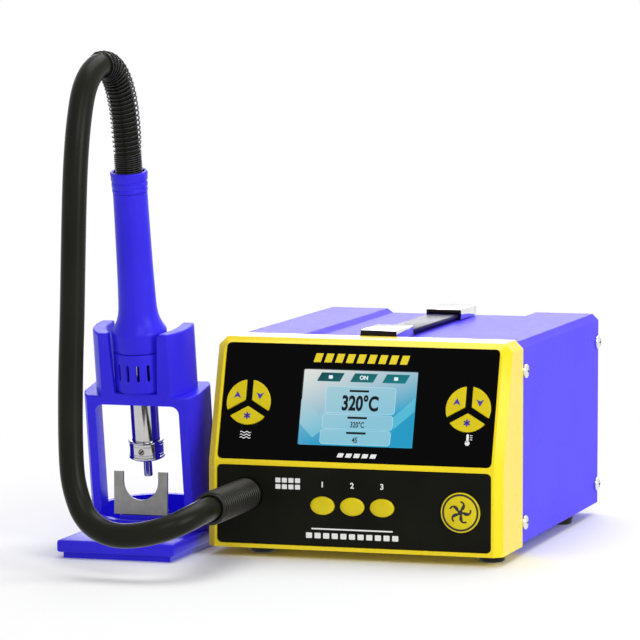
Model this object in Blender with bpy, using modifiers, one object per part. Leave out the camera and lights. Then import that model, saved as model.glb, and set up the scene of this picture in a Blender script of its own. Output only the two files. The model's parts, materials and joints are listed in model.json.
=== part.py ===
"""Hot-air rework station: a console, a handpiece on an air hose, and the stand that holds it.

The console's front centre is at X = 0, its lower front face at Y = 0 and the table at Z = 0.
+X is to the right, +Y to the back. Every size below is in metres, written as millimetres * MM.
"""
import math

import bmesh
import bpy
from mathutils import Matrix, Vector

MM = 0.001
GAP = 0.3 * MM          # clearance between neighbours that touch or run in each other
REACH = 400 * MM        # how far a cutter runs past what it cuts

# Console case
CASE_WIDTH = 187 * MM
CASE_TOP = 132.7 * MM
CASE_UNDERSIDE = 7.6 * MM
CASE_REAR = 256 * MM
SHEET = 1.5 * MM
CASE_CHAMFER = 4 * MM
CHANNEL_WIDTH = 94 * MM
CHANNEL_SLOPE = 4 * MM
CHANNEL_DEPTH = 2.8 * MM
PAN_FLANGE = 22 * MM
REAR_FLANGE = 10 * MM

# Front bezel and its two panels
BEZEL_OVERHANG = 0.5 * MM        # how far it stands out past the case on each side
BEZEL_WIDTH = CASE_WIDTH + 2 * BEZEL_OVERHANG
BEZEL_UNDERSIDE = 6 * MM
BEZEL_TOP = 134 * MM
BEZEL_REAR = 52.2 * MM
BEZEL_WALL = 2.5 * MM
FACE_WALL = 6 * MM
FACE_BREAK = 60.5 * MM          # height at which the front face starts to lean back
FACE_LEAN = math.radians(17.1)
FACE_CHAMFER = 5 * MM
CORNER_CHAMFER = 5.2 * MM
RIM_DEPTH = 10 * MM             # the rim that the case cover slides over
RIM_WALL = 2.1 * MM
BEZEL_BORDER = 6.6 * MM          # yellow at each side of the panels
WINDOW_WIDTH = BEZEL_WIDTH - 2 * BEZEL_BORDER
WINDOW_CORNER = 3 * MM
WINDOW_LEDGE = 2 * MM
UPPER_WINDOW = (0.3 * MM, 73.9 * MM)      # along the leaning face, from the break
LOWER_WINDOW = (8.5 * MM, 57.3 * MM)      # heights
PANEL_THICKNESS = 3 * MM
PANEL_SINK = 0.5 * MM

# Display and keys
LCD_WIDTH = 73.2 * MM
LCD_HEIGHT = 47.7 * MM
LCD_CENTRE = 34.65 * MM
LCD_MARGIN = 3 * MM
MODULE_DEPTH = 5 * MM
KEY_RING_MARGIN = 17.3 * MM     # from the window's side to the ring's centre
KEY_RING_OFFSET = WINDOW_WIDTH / 2 - KEY_RING_MARGIN
KEY_RING_CENTRE = 36.1 * MM
KEY_RING_RADIUS = 14.2 * MM
KEY_SPACING = 4.2 * MM
KEY_STAND_OUT = 1 * MM
KEY_DEPTH = 6.5 * MM
KEY_TRAVEL = 0.8 * MM
OVAL_CENTRE = (-0.5 * MM, 33.7 * MM)
OVAL_PITCH = 19 * MM
OVAL_WIDTH = 15.6 * MM
OVAL_HEIGHT = 11.4 * MM
BADGE_MARGIN = 19 * MM
BADGE_CENTRE = (WINDOW_WIDTH / 2 - BADGE_MARGIN, 33 * MM)
BADGE_RADIUS = 12.3 * MM
BADGE_THICKNESS = 1.2 * MM
BOARD_THICKNESS = 1.6 * MM
KEY_SWITCH = 6 * MM             # side of the small switch behind each key
SWITCH_LIFT = 2.5 * MM          # how far those on the channel board stand up from it
CHANNEL_BOARD_HEIGHT = 20 * MM
CHANNEL_POST_RADIUS = 1.6 * MM
CHANNEL_POST_INSET = (4 * MM, 2 * MM)

# Feet, screws and handle
FOOT_RADIUS = 8.7 * MM
FOOT_LEFT = -(CASE_WIDTH / 2 - 27.5 * MM)
FOOT_RIGHT = CASE_WIDTH / 2 - 12.5 * MM
FOOT_FRONT = 27 * MM
FOOT_REAR = CASE_REAR - 54 * MM
FOOT_TAPER = 0.8 * MM
SCREW_HEAD_RADIUS = 4.6 * MM
SCREW_HEAD_HEIGHT = 2.6 * MM
SCREW_SHANK_RADIUS = 1.9 * MM
SCREW_LENGTH = 6 * MM
SCREW_FRONT = 57 * MM
SCREW_REAR = CASE_REAR - 5.5 * MM
SCREW_LOW = 20.6 * MM
SCREW_HIGH = 114.6 * MM
CAP_WIDTH = 24 * MM
CAP_LENGTH = 39 * MM
CAP_HEIGHT = 7.2 * MM
CAP_FRONT = 56 * MM
CAP_REAR = CASE_REAR - 6.5 * MM
CAP_SOCKET = 18 * MM
STRAP_WIDTH = 20.6 * MM
STRAP_THICKNESS = 2.8 * MM
STRAP_LIFT = 1.2 * MM

# Rear panel fittings
INLET_MARGIN = 35.5 * MM        # from the case's side to the inlet's centre
INLET_CENTRE = (INLET_MARGIN - CASE_WIDTH / 2, 42 * MM)
INLET_FLANGE = (50 * MM, 34 * MM)
INLET_BODY = (29 * MM, 31 * MM)
INLET_DEPTH = 24 * MM
SOCKET_SIZE = (24.4 * MM, 16.6 * MM)
SOCKET_DEPTH = 15 * MM
SOCKET_RISE = 6 * MM
PIN_SIZE = (2 * MM, 4 * MM)
PIN_LENGTH = 10 * MM
PIN_PITCH = 7 * MM
PIN_STAGGER = 2 * MM
FLANGE_THICKNESS = 2 * MM
DRAWER_FACE = (22 * MM, 6.6 * MM)
DRAWER_DEPTH = 20 * MM
DRAWER_DROP = 10.3 * MM
DRAWER_STAND_OUT = 0.8 * MM
DRAWER_WALL = 2.5 * MM
FUSE_RADIUS = 2.5 * MM
SWITCH_PITCH = 50 * MM          # from the inlet's centre to the switch's
SWITCH_CENTRE = (INLET_CENTRE[0] + SWITCH_PITCH, INLET_CENTRE[1])
SWITCH_FRAME = (21 * MM, 27 * MM)
SWITCH_BODY = (17 * MM, 23 * MM)
SWITCH_DEPTH = 16 * MM
ROCKER_SIZE = (13 * MM, 19 * MM)
ROCKER_DEPTH = 8 * MM
ROCKER_TILT = math.radians(6)
ROCKER_STAND_OUT = 1.1 * MM
ROCKER_DISH = 0.6 * MM
ROCKER_KEEL = 3 * MM
ROCKER_PIVOT = 3 * MM           # how far its axis lies inside the frame's face
VENT_SPAN = (SWITCH_CENTRE[0] + 27 * MM, CASE_WIDTH / 2 - 22.5 * MM)
VENT_MIDDLE = 72 * MM
VENT_HEIGHT = 3 * MM
VENT_PITCH = 7 * MM
VENT_COUNT = 9

# Air path inside the console
OUTLET_MARGIN = 19.1 * MM       # from the window's side to the hose's outlet
HOSE_OUTLET = (OUTLET_MARGIN - WINDOW_WIDTH / 2, 39.2 * MM)
BLOWER_RADIUS = 36 * MM
BLOWER_HEIGHT = 26 * MM
BLOWER_WALL = 2 * MM
BLOWER_Y = CASE_REAR - 131 * MM
BLOWER_INLET = 14 * MM
OUTLET_WIDTH = 21 * MM
OUTLET_REACH = 24 * MM          # how far its outlet runs past the round part
IMPELLER_RADIUS = 26 * MM
IMPELLER_DISC = 2 * MM
IMPELLER_BLADES = 9
BLADE_ROOT = 15 * MM
BLADE_THICKNESS = 1.6 * MM
HUB_RADIUS = 7 * MM
HUB_HEIGHT = 9 * MM
SHAFT_RADIUS = 2.5 * MM
SHAFT_REACH = 8 * MM            # how far the shaft runs down below the housing
MOTOR_RADIUS = 17 * MM
DUCT_RADIUS = 9 * MM
DUCT_WALL = 1.2 * MM
DUCT_FRONT = 12 * MM
DUCT_FLANGE_RADIUS = 16.8 * MM
DUCT_FLANGE = 2 * MM
TRANSFORMER_SIZE = (48 * MM, 42 * MM, 40 * MM)
TRANSFORMER_CENTRE = (HOSE_OUTLET[0] + 28.3 * MM, CASE_REAR - 53 * MM)
COIL_WIDTH = 32 * MM
COIL_OVERHANG = 7 * MM
COIL_INSET = 8 * MM
BLOWER_CENTRE = (HOSE_OUTLET[0] + BLOWER_RADIUS - OUTLET_WIDTH / 2, BLOWER_Y)
MAIN_BOARD_SPAN = (BLOWER_CENTRE[0] + BLOWER_RADIUS + 12.8 * MM, CASE_WIDTH / 2 - 11.5 * MM)
MAIN_BOARD_FRONT = 95 * MM
MAIN_BOARD_REAR = CASE_REAR - 31 * MM
BOARD_POST = 8 * MM
BOARD_POST_RADIUS = 3 * MM
BOARD_POST_INSET = 5 * MM
SINK_SHARE = 0.53               # of the board's width
SINK_THICKNESS = 6 * MM
SINK_HEIGHT = 30 * MM
SINK_MARGIN = 32 * MM           # from the board's rear edge
CAN_RADIUS = 8 * MM
CAN_HEIGHT = 24 * MM
CAN_PITCH = 22 * MM
CAN_MARGIN = 25 * MM            # from the board's front edge

# Air hose and its fittings
HOSE_RADIUS = 7.5 * MM
HOSE_SOCKET = 5 * MM            # how deep it sits in the handpiece's ring
SLEEVE_RADIUS = 10.2 * MM
SLEEVE_LENGTH = 71.5 * MM       # in front of the console's face
SLEEVE_SOCKET = 14 * MM
SLEEVE_FLANGE_RADIUS = 13.2 * MM
SLEEVE_RIBS = 12
SLEEVE_GROOVE = 0.6 * MM
SLEEVE_LIP = 2 * MM
SLEEVE_FLANGE = 2.5 * MM
SPRING_WIRE = 0.9 * MM
SPRING_SPANS = 5                # how many of the route's last spans the spring covers

# Stand: base, cradle and fork
STAND_OFFSET = 72.3 * MM        # from the hose's outlet to the stand's middle
STAND_CENTRE = HOSE_OUTLET[0] - STAND_OFFSET
SHELL_RADIUS = 39.5 * MM        # the stand's round body, seen along the leaning axis
SHELL_FLAT = SHELL_RADIUS - 1.3 * MM  # half the width over its flat sides
BASE_WIDTH = 2 * SHELL_FLAT
BASE_FRONT = -38.5 * MM
BASE_REAR = 88 * MM
BASE_TOP = 11.4 * MM
PLINTH_HEIGHT = 3.7 * MM
PLINTH_INSET = 3.4 * MM
BASE_EDGE = 1.6 * MM
LEAN = math.radians(10.3)
TIP = Vector((STAND_CENTRE, 25.2 * MM, 45.1 * MM))   # the nozzle's mouth, on the handpiece axis
SHELL_SETBACK = 8 * MM          # the shell's centre, behind the handpiece axis
SHELL_WALL = 3.7 * MM
SHELL_FOOT = -80 * MM           # below the table, before it is cut level
FRONT_PLANE = -14 * MM
LEG_REAR = 18 * MM              # also the rear of the cup's two wings
SHOULDER_REAR = 26 * MM
LEG_WIDTH = 12.1 * MM
WINDOW_HALF = SHELL_RADIUS - LEG_WIDTH
JAMB_DEPTH = 11.6 * MM
SHELF_UNDER = 49.5 * MM
SHELF_TOP = 56.8 * MM
SHOULDER = 55 * MM
WINDOW_SINK = 6 * MM            # how far the front window runs below the tub's rim
STAND_WINDOW_CORNER = 5 * MM
TUB_TILT = math.radians(4.5)    # the tub's rim against the leaning axis's square
TUB_RIM = -22.8 * MM            # its height on the axis
CUP_STEP = 7.8 * MM
CUP_RADIUS = SHELL_RADIUS - CUP_STEP
CUP_TOP = 95.3 * MM
CUP_SETBACK = 8.4 * MM
CUP_BORE = 22.5 * MM
CUP_BORE_SETBACK = 6.5 * MM
CUP_OPENING = (14 * MM, 16.2 * MM)    # half widths at its foot and at its top
TUBE_HOLE = 12.6 * MM
FORK_WIDTH = 35.2 * MM
FORK_FOOT = 22 * MM
FORK_TOP = 49.2 * MM
FORK_FRONT = 10 * MM
FORK_PLATE = 2 * MM
FORK_LEDGE = 14 * MM
FORK_SLOT = 11.4 * MM
FORK_SLOT_FLOOR = 31.2 * MM
BLOCK_WIDTH = 28 * MM
FORK_SCREW_RADIUS = 1.5 * MM
FORK_SCREW_HEAD = (3.1 * MM, 1.8 * MM)
FORK_SCREW_SETBACK = 8.7 * MM

# Handpiece, along its own axis from the nozzle's mouth
COLLAR_RADIUS = 17 * MM
COLLAR_FOOT = 57.1 * MM
COLLAR_TOP = 82.2 * MM
COLLAR_WALL = 2 * MM
SLOT_COUNT = 16
SLOT_SIZE = (1.8 * MM, 10.5 * MM)
SLOT_CENTRE = 70.5 * MM
GRIP_TOP = 182.7 * MM
GRIP_RADIUS = 10.7 * MM
GRIP_WALL = 2.5 * MM
GRIP_STRAIGHT = 176 * MM        # above this the grip is a plain cylinder
FLARE_RADIUS = 17.2 * MM
FLARE_TOP = 93.6 * MM
FLARE_FOOT = 88 * MM
CHAMBER_TOP = 93 * MM           # the grip's wide hollow, then its throat and bore
THROAT_RADIUS = 10 * MM
THROAT_FOOT = 104 * MM
THROAT_TOP = 120 * MM
GRIP_NECK = [(11, 150), (11.4, 125), (11.8, 111), (12.4, 105), (13.6, 101), (15.6, 97.4), (16.9, 95.2)]
RING_TOP = 192.8 * MM
RING_RADIUS = 11.3 * MM
TUBE_RADIUS = 8.85 * MM
TUBE_WALL = 0.8 * MM
TUBE_FOOT = 14 * MM
TUBE_TOP = 80 * MM
CORE_RADIUS = 6.4 * MM
CORE_FOOT = 20 * MM
CORE_SEAT = (74 * MM, 78 * MM)
CORE_TOP = 88 * MM
CORE_NECK_RADIUS = 5 * MM
NOZZLE_RADIUS = 11.4 * MM
NOZZLE_TOP = 24 * MM
NOZZLE_STEP = 11.6 * MM
TIP_RADIUS = 2.75 * MM
TIP_WALL = 0.7 * MM
CLAMP_HEIGHT = 18.3 * MM
CLAMP_RADIUS = 1.5 * MM
CLAMP_HEAD = (2.3 * MM, 1.4 * MM)
NOZZLE_RIM = 0.9 * MM
NOZZLE_BEAD = 1.6 * MM

# The hose's way from the sleeve's mouth to the spring's foot, read off the photograph, in mm:
# X from the outlet, Y from the console's front and Z from the table
HOSE_ROUTE = [
    (-0.7, -83, 39), (-4.5, -94.5, 36.5), (-11.7, -103, 32.8), (-21, -107.5, 29.6),
    (-31.7, -109, 27.2), (-42.7, -109, 26.2), (-52.2, -108, 27.4), (-60.7, -106, 30.8),
    (-67.7, -104, 36.8), (-72.7, -101.8, 45.5), (-77, -99.5, 59), (-79.1, -97, 78),
    (-80.3, -94, 104.5), (-80.7, -91.5, 130), (-80.7, -89.3, 154), (-80.7, -87, 189),
    (-80.7, -84.5, 223), (-80.7, -81.5, 247), (-80.7, -76.5, 268), (-80.6, -68.3, 287),
    (-79.5, -58.7, 298), (-77.4, -47.3, 303.6), (-75.1, -36, 301.8), (-73.3, -26.7, 292.5),
    (-72.4, -19, 276.5), (-72.2, -13.3, 254),
]

COLOURS = {
    "case": ("#6A5AFF", 0.45, 0.0),
    "bezel": ("#FFE600", 0.35, 0.0),
    "panel": ("#08080A", 0.12, 0.0),
    "lower_panel": ("#14140F", 0.55, 0.0),
    "screen": ("#5CC3DA", 0.1, 0.0),
    "key": ("#E6D200", 0.4, 0.0),
    "rubber": ("#16160F", 0.7, 0.0),
    "chrome": ("#D8D8DC", 0.08, 1.0),
    "steel": ("#9C9C94", 0.38, 1.0),
    "black": ("#101012", 0.4, 0.0),
    "stand": ("#3A30F0", 0.42, 0.0),
    "board": ("#1E6B3A", 0.5, 0.0),
    "ceramic": ("#E8E2D2", 0.6, 0.0),
}


def clear_scene():
    """Empty the file and make one collection for the parts and one for the cutters."""
    for item in list(bpy.data.objects):
        bpy.data.objects.remove(item, do_unlink=True)
    parts = bpy.data.collections.new("rework_station")
    cutters = bpy.data.collections.new("cutters")
    for collection in (parts, cutters):
        bpy.context.scene.collection.children.link(collection)
    return parts, cutters


PARTS, CUTTERS = clear_scene()


def linear(channel):
    """One sRGB channel, 0 to 1, as a linear value."""
    return channel / 12.92 if channel <= 0.04045 else ((channel + 0.055) / 1.055) ** 2.4


def finish(name):
    """The named Principled material, made once."""
    found = bpy.data.materials.get(name)
    if found:
        return found
    code, roughness, metallic = COLOURS[name]
    rgb = [linear(int(code[i:i + 2], 16) / 255) for i in (1, 3, 5)]
    made = bpy.data.materials.new(name)
    made.use_nodes = True
    shader = made.node_tree.nodes["Principled BSDF"]
    shader.inputs["Base Color"].default_value = (*rgb, 1)
    shader.inputs["Roughness"].default_value = roughness
    shader.inputs["Metallic"].default_value = metallic
    made.diffuse_color = (*rgb, 1)
    return made


def empty(name, location=(0, 0, 0), rotation=(0, 0, 0), parent=None):
    """A named frame of reference that carries pieces."""
    made = bpy.data.objects.new(name, None)
    made.location = location
    made.rotation_euler = rotation
    made.parent = parent
    PARTS.objects.link(made)
    return made


def add_object(name, mesh, look, parent=None, location=(0, 0, 0), rotation=(0, 0, 0)):
    """Put a mesh in the model, or among the cutters when it has no look."""
    made = bpy.data.objects.new(name, mesh)
    made.location = location
    made.rotation_euler = rotation
    made.parent = parent
    if look:
        mesh.materials.append(finish(look))
        PARTS.objects.link(made)
    else:
        made.hide_render = True
        made.display_type = "WIRE"
        CUTTERS.objects.link(made)
    return made


def to_mesh(name, bm):
    """A mesh datablock from a bmesh, with its faces pointing out."""
    bmesh.ops.recalc_face_normals(bm, faces=bm.faces)
    mesh = bpy.data.meshes.new(name)
    bm.to_mesh(mesh)
    bm.free()
    return mesh


def block(name, low, high, look, parent=None, origin=None):
    """A box between two corners. Its origin is its centre, or the point given."""
    low, high = Vector(low), Vector(high)
    origin = (low + high) / 2 if origin is None else Vector(origin)
    bm = bmesh.new()
    bmesh.ops.create_cube(bm, size=1)
    bmesh.ops.scale(bm, vec=high - low, verts=bm.verts)
    bmesh.ops.translate(bm, vec=(low + high) / 2 - origin, verts=bm.verts)
    return add_object(name, to_mesh(name, bm), look, parent, origin)


PLANES = {
    "XY": Matrix.Identity(4),
    "XZ": Matrix.Rotation(math.pi / 2, 4, "X"),
    "YZ": Matrix.Rotation(math.pi / 2, 4, "Z") @ Matrix.Rotation(math.pi / 2, 4, "X"),
}


def extrusion(name, outlines, plane, start, end, look, parent=None, origin=(0, 0, 0)):
    """Flat outlines, holes included, drawn in a plane and extruded along its normal.

    The plane's normal is +Z for XY, +Y for XZ and +X for YZ. The origin is in the same frame.
    """
    curve = bpy.data.curves.new(name, "CURVE")
    curve.dimensions = "2D"
    curve.fill_mode = "BOTH"
    curve.extrude = abs(end - start) / 2
    for outline in outlines:
        spline = curve.splines.new("POLY")
        spline.points.add(len(outline) - 1)
        for point, (u, v) in zip(spline.points, outline):
            point.co = (u, v, 0, 1)
        spline.use_cyclic_u = True
    drawn = bpy.data.objects.new(name + "_outline", curve)
    CUTTERS.objects.link(drawn)
    graph = bpy.context.evaluated_depsgraph_get()
    graph.update()
    mesh = bpy.data.meshes.new_from_object(drawn.evaluated_get(graph))
    bpy.data.objects.remove(drawn, do_unlink=True)
    bm = bmesh.new()
    bm.from_mesh(mesh)
    bpy.data.meshes.remove(mesh)
    bmesh.ops.remove_doubles(bm, verts=bm.verts, dist=1e-6)
    normal = {"XY": Vector((0, 0, 1)), "XZ": Vector((0, 1, 0)), "YZ": Vector((1, 0, 0))}[plane]
    bm.transform(PLANES[plane])
    bmesh.ops.translate(bm, vec=normal * (start + end) / 2 - Vector(origin), verts=bm.verts)
    return add_object(name, to_mesh(name, bm), look, parent, origin)


def turned(name, profile, look, parent=None, location=(0, 0, 0), rotation=(0, 0, 0), steps=32,
           closed=False):
    """A profile of (radius, height) turned about Z, its outer side running from top to bottom."""
    bm = bmesh.new()
    points = [bm.verts.new((radius, 0, height)) for radius, height in profile]
    for a, b in zip(points, points[1:]):
        bm.edges.new((a, b))
    if closed:
        bm.edges.new((points[-1], points[0]))
    mesh = bpy.data.meshes.new(name)
    bm.to_mesh(mesh)
    bm.free()
    made = add_object(name, mesh, look, parent, location, rotation)
    screw = made.modifiers.new("turn", "SCREW")
    screw.steps = steps
    screw.render_steps = steps
    screw.use_merge_vertices = True
    screw.merge_threshold = 1e-6
    screw.use_smooth_shade = True
    return made


def rod(name, radius, start, end, look, parent=None, location=(0, 0, 0), rotation=(0, 0, 0),
        steps=24):
    """A solid cylinder along its own Z, from one height to another."""
    profile = [(0, end), (radius, end), (radius, start), (0, start)]
    return turned(name, profile, look, parent, location, rotation, steps)


def combine(piece, other, operation="DIFFERENCE"):
    """Cut another object from a piece, or join it on. A joined object is then a cutter too."""
    modifier = piece.modifiers.new(other.name, "BOOLEAN")
    modifier.operation = operation
    modifier.object = other
    modifier.solver = "EXACT"
    return piece


def soften(piece, width, segments=2):
    """Round the piece's edges over 30 degrees."""
    bevel = piece.modifiers.new("edges", "BEVEL")
    bevel.width = width
    bevel.segments = segments
    bevel.limit_method = "ANGLE"
    bevel.angle_limit = math.radians(30)


def arc(centre, radius, start, end, count):
    """Points on an arc, both ends included, with angles in degrees."""
    angles = [math.radians(start + (end - start) * i / count) for i in range(count + 1)]
    return [(centre[0] + radius * math.cos(a), centre[1] + radius * math.sin(a)) for a in angles]


def circle(centre, radius, count=24):
    return arc(centre, radius, 0, 360, count)[:-1]


def ellipse(centre, width, height, count=24):
    return [(centre[0] + x * width / 2, centre[1] + y * height / 2)
            for x, y in circle((0, 0), 1, count)]


def rounded_rectangle(low, high, radius, count=4):
    """A rectangle between two corners with round corners."""
    corners = [(high[0], high[1], 0), (low[0], high[1], 90), (low[0], low[1], 180),
               (high[0], low[1], 270)]
    points = []
    for x, z, turn in corners:
        inside = (x - math.copysign(radius, x - (low[0] + high[0]) / 2),
                  z - math.copysign(radius, z - (low[1] + high[1]) / 2))
        points += arc(inside, radius, turn, turn + 90, count)
    return points


def rectangle(centre, size):
    (x, z), (width, height) = centre, size
    return [(x - width / 2, z - height / 2), (x + width / 2, z - height / 2),
            (x + width / 2, z + height / 2), (x - width / 2, z + height / 2)]


def inset(points, distance):
    """An open run of points moved sideways, to its right, by a distance."""
    moved = []
    for i, point in enumerate(points):
        before = Vector(points[max(i - 1, 0)])
        after = Vector(points[min(i + 1, len(points) - 1)])
        here = Vector(point)
        first = (here - before).normalized() if i else (after - here).normalized()
        last = (after - here).normalized() if i < len(points) - 1 else first
        sides = Vector((first.y, -first.x)), Vector((last.y, -last.x))
        mid = (sides[0] + sides[1]).normalized()
        moved.append(tuple(here + mid * distance / mid.dot(sides[0])))
    return moved


def case_section(distance=0.0):
    """The case cover's section from its lower left edge to its lower right edge, inset."""
    side = CASE_WIDTH / 2
    channel = CHANNEL_WIDTH / 2
    floor = CASE_TOP - CHANNEL_DEPTH
    left = [(-side, CASE_UNDERSIDE), (-side, CASE_TOP - CASE_CHAMFER),
            (-side + CASE_CHAMFER, CASE_TOP), (-channel - CHANNEL_SLOPE, CASE_TOP),
            (-channel, floor)]
    section = left + [(-x, z) for x, z in reversed(left)]
    return inset(section, distance)


def make_case(station):
    """Folded sheet: the cover over top and sides, the pan under it and the rear panel."""
    outside = case_section()
    sheet = outside + list(reversed(case_section(SHEET)))
    cover = extrusion("case_cover", [sheet], "XZ", BEZEL_REAR + GAP, CASE_REAR, "case", station)

    half = CASE_WIDTH / 2 - SHEET - GAP
    low = CASE_UNDERSIDE
    folded = [(-half, low + PAN_FLANGE), (-half, low), (half, low), (half, low + PAN_FLANGE)]
    inner = list(reversed(inset(folded, -SHEET)))
    start = BEZEL_REAR + RIM_DEPTH + GAP
    end = CASE_REAR - SHEET - 2 * GAP
    pan = extrusion("base_pan", [folded + inner], "XZ", start, end, "case", station)

    rear_outline = case_section(SHEET + GAP)
    wall_back = CASE_REAR - GAP
    wall_front = wall_back - SHEET
    rear = extrusion("rear_panel", [rear_outline], "XZ", wall_front, wall_back, "case", station)
    flange_foot = low + PAN_FLANGE + GAP
    flange_head = CASE_TOP - CASE_CHAMFER - SHEET
    for side in (-1, 1):
        edge = side * half
        inner = edge - side * SHEET
        flange = block(f"rear_flange_{side}", (min(edge, inner), wall_front - REAR_FLANGE, flange_foot),
                       (max(edge, inner), wall_back - SHEET / 2, flange_head), None, station)
        combine(rear, flange, "UNION")
    left, right = VENT_SPAN
    for row in range(VENT_COUNT):
        height = VENT_MIDDLE + (row - (VENT_COUNT - 1) / 2) * VENT_PITCH
        opening = rectangle(((left + right) / 2, height), (right - left, VENT_HEIGHT))
        slot = extrusion(f"vent_{row}", [opening], "XZ", wall_front - REAR_FLANGE,
                         CASE_REAR + REAR_FLANGE, None, station)
        combine(rear, slot)
    openings = (("inlet_hole", INLET_CENTRE, INLET_BODY), ("switch_hole", SWITCH_CENTRE, SWITCH_BODY))
    for name, centre, size in openings:
        wider = (size[0] + 2 * GAP, size[1] + 2 * GAP)
        hole = extrusion(name, [rectangle(centre, wider)], "XZ", wall_front - REAR_FLANGE,
                         CASE_REAR + REAR_FLANGE, None, station)
        combine(rear, hole)
    return cover, pan, rear


def face_point(along, depth=0.0):
    """Y and Z of a point on the leaning face, a distance up it and a depth behind it."""
    y = along * math.sin(FACE_LEAN) + depth * math.cos(FACE_LEAN)
    z = FACE_BREAK + along * math.cos(FACE_LEAN) - depth * math.sin(FACE_LEAN)
    return y, z


def bezel_side(wall, rear):
    """The bezel's side view with its walls moved in by a distance, open to a rear plane."""
    low = BEZEL_UNDERSIDE + wall
    high = BEZEL_TOP - wall
    front = FACE_WALL if wall else 0.0
    break_y, break_z = face_point(0, front)
    top_y = break_y + (high - break_z) * math.tan(FACE_LEAN)
    lower_break = FACE_BREAK - front * math.tan(FACE_LEAN / 2)
    return [(front, low), (front, lower_break), (top_y, high), (rear, high), (rear, low)]


def chamfer_top(bm, top, width):
    """Chamfers the two edges between a form's top and its sides."""
    corners = []
    for edge in bm.edges:
        ends = [v.co for v in edge.verts]
        if abs(ends[0].x - ends[1].x) < MM and all(abs(p.z - top) < MM for p in ends):
            corners.append(edge)
    bmesh.ops.bevel(bm, geom=corners, offset=width, segments=1, affect="EDGES")


def is_front_edge(edge):
    """True for an outer edge of the bezel's front face, apart from the one underneath."""
    ends = [v.co for v in edge.verts]
    for p in ends:
        if p.y > max(0.0, (p.z - FACE_BREAK) * math.tan(FACE_LEAN)) + 0.1 * MM:
            return False
    return not any(all(abs(p.z - z) < MM for p in ends) for z in (BEZEL_UNDERSIDE, FACE_BREAK))


def make_bezel(station, lean):
    """The moulded front frame: chamfered outside, two stepped windows and a rim behind."""
    half = BEZEL_WIDTH / 2
    bezel = extrusion("front_bezel", [bezel_side(0, BEZEL_REAR)], "YZ", -half, half, "bezel", station)
    bm = bmesh.new()
    bm.from_mesh(bezel.data)
    bmesh.ops.dissolve_limit(bm, angle_limit=0.01, verts=bm.verts, edges=bm.edges)
    chamfer_top(bm, BEZEL_TOP, CORNER_CHAMFER)
    face_edges = [e for e in bm.edges if is_front_edge(e)]
    bmesh.ops.bevel(bm, geom=face_edges, offset=FACE_CHAMFER, segments=1, affect="EDGES")
    bmesh.ops.recalc_face_normals(bm, faces=bm.faces)
    bm.to_mesh(bezel.data)
    bm.free()

    rim_half = CASE_WIDTH / 2 - SHEET - GAP
    rim_top = CASE_TOP - CHANNEL_DEPTH - SHEET - GAP
    rim_low = CASE_UNDERSIDE + GAP
    rim = block("bezel_rim", (-rim_half, BEZEL_REAR - RIM_DEPTH, rim_low),
                (rim_half, BEZEL_REAR + RIM_DEPTH, rim_top), None, station)
    combine(bezel, rim, "UNION")
    wall = BEZEL_WALL
    hollow = extrusion("bezel_hollow", [bezel_side(wall, BEZEL_REAR - wall)], "YZ", -half + wall,
                       half - wall, None, station)
    bm = bmesh.new()
    bm.from_mesh(hollow.data)
    bmesh.ops.dissolve_limit(bm, angle_limit=0.01, verts=bm.verts, edges=bm.edges)
    chamfer_top(bm, BEZEL_TOP - wall, CORNER_CHAMFER - wall * (2 - math.sqrt(2)))
    bmesh.ops.recalc_face_normals(bm, faces=bm.faces)
    bm.to_mesh(hollow.data)
    bm.free()
    combine(bezel, hollow)
    bore = block("rim_hollow", (-rim_half + RIM_WALL, BEZEL_REAR - RIM_DEPTH, rim_low + RIM_WALL),
                 (rim_half - RIM_WALL, REACH, rim_top - RIM_WALL), None, station)
    combine(bezel, bore)

    depth = PANEL_SINK + PANEL_THICKNESS + GAP
    for name, (low, high), frame in (("upper", UPPER_WINDOW, lean), ("lower", LOWER_WINDOW, station)):
        side = WINDOW_WIDTH / 2
        ledge = WINDOW_LEDGE
        seat = rounded_rectangle((-side, low), (side, high), WINDOW_CORNER)
        through = rounded_rectangle((-side + ledge, low + ledge), (side - ledge, high - ledge),
                                    WINDOW_CORNER)
        combine(bezel, extrusion(f"{name}_seat", [seat], "XZ", -REACH / 8, depth, None, frame))
        combine(bezel, extrusion(f"{name}_through", [through], "XZ", -REACH / 8, FACE_WALL + MM, None,
                                 frame))
    return bezel


def key_outline(radius, half_gap, start):
    """A third of a ring of keys, with parallel gaps between the thirds."""
    wedge = 120
    slip = math.degrees(math.asin(half_gap / radius))
    points = arc((0, 0), radius, start + slip, start + wedge - slip, 10)
    middle = math.radians(start + wedge / 2)
    apex = half_gap / math.sin(math.radians(wedge / 2))
    return points + [(apex * math.cos(middle), apex * math.sin(middle))]


def moved(points, centre):
    return [(x + centre[0], z + centre[1]) for x, z in points]


KEY_THIRDS = {"up": 90, "down": -30, "star": 210}


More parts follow.
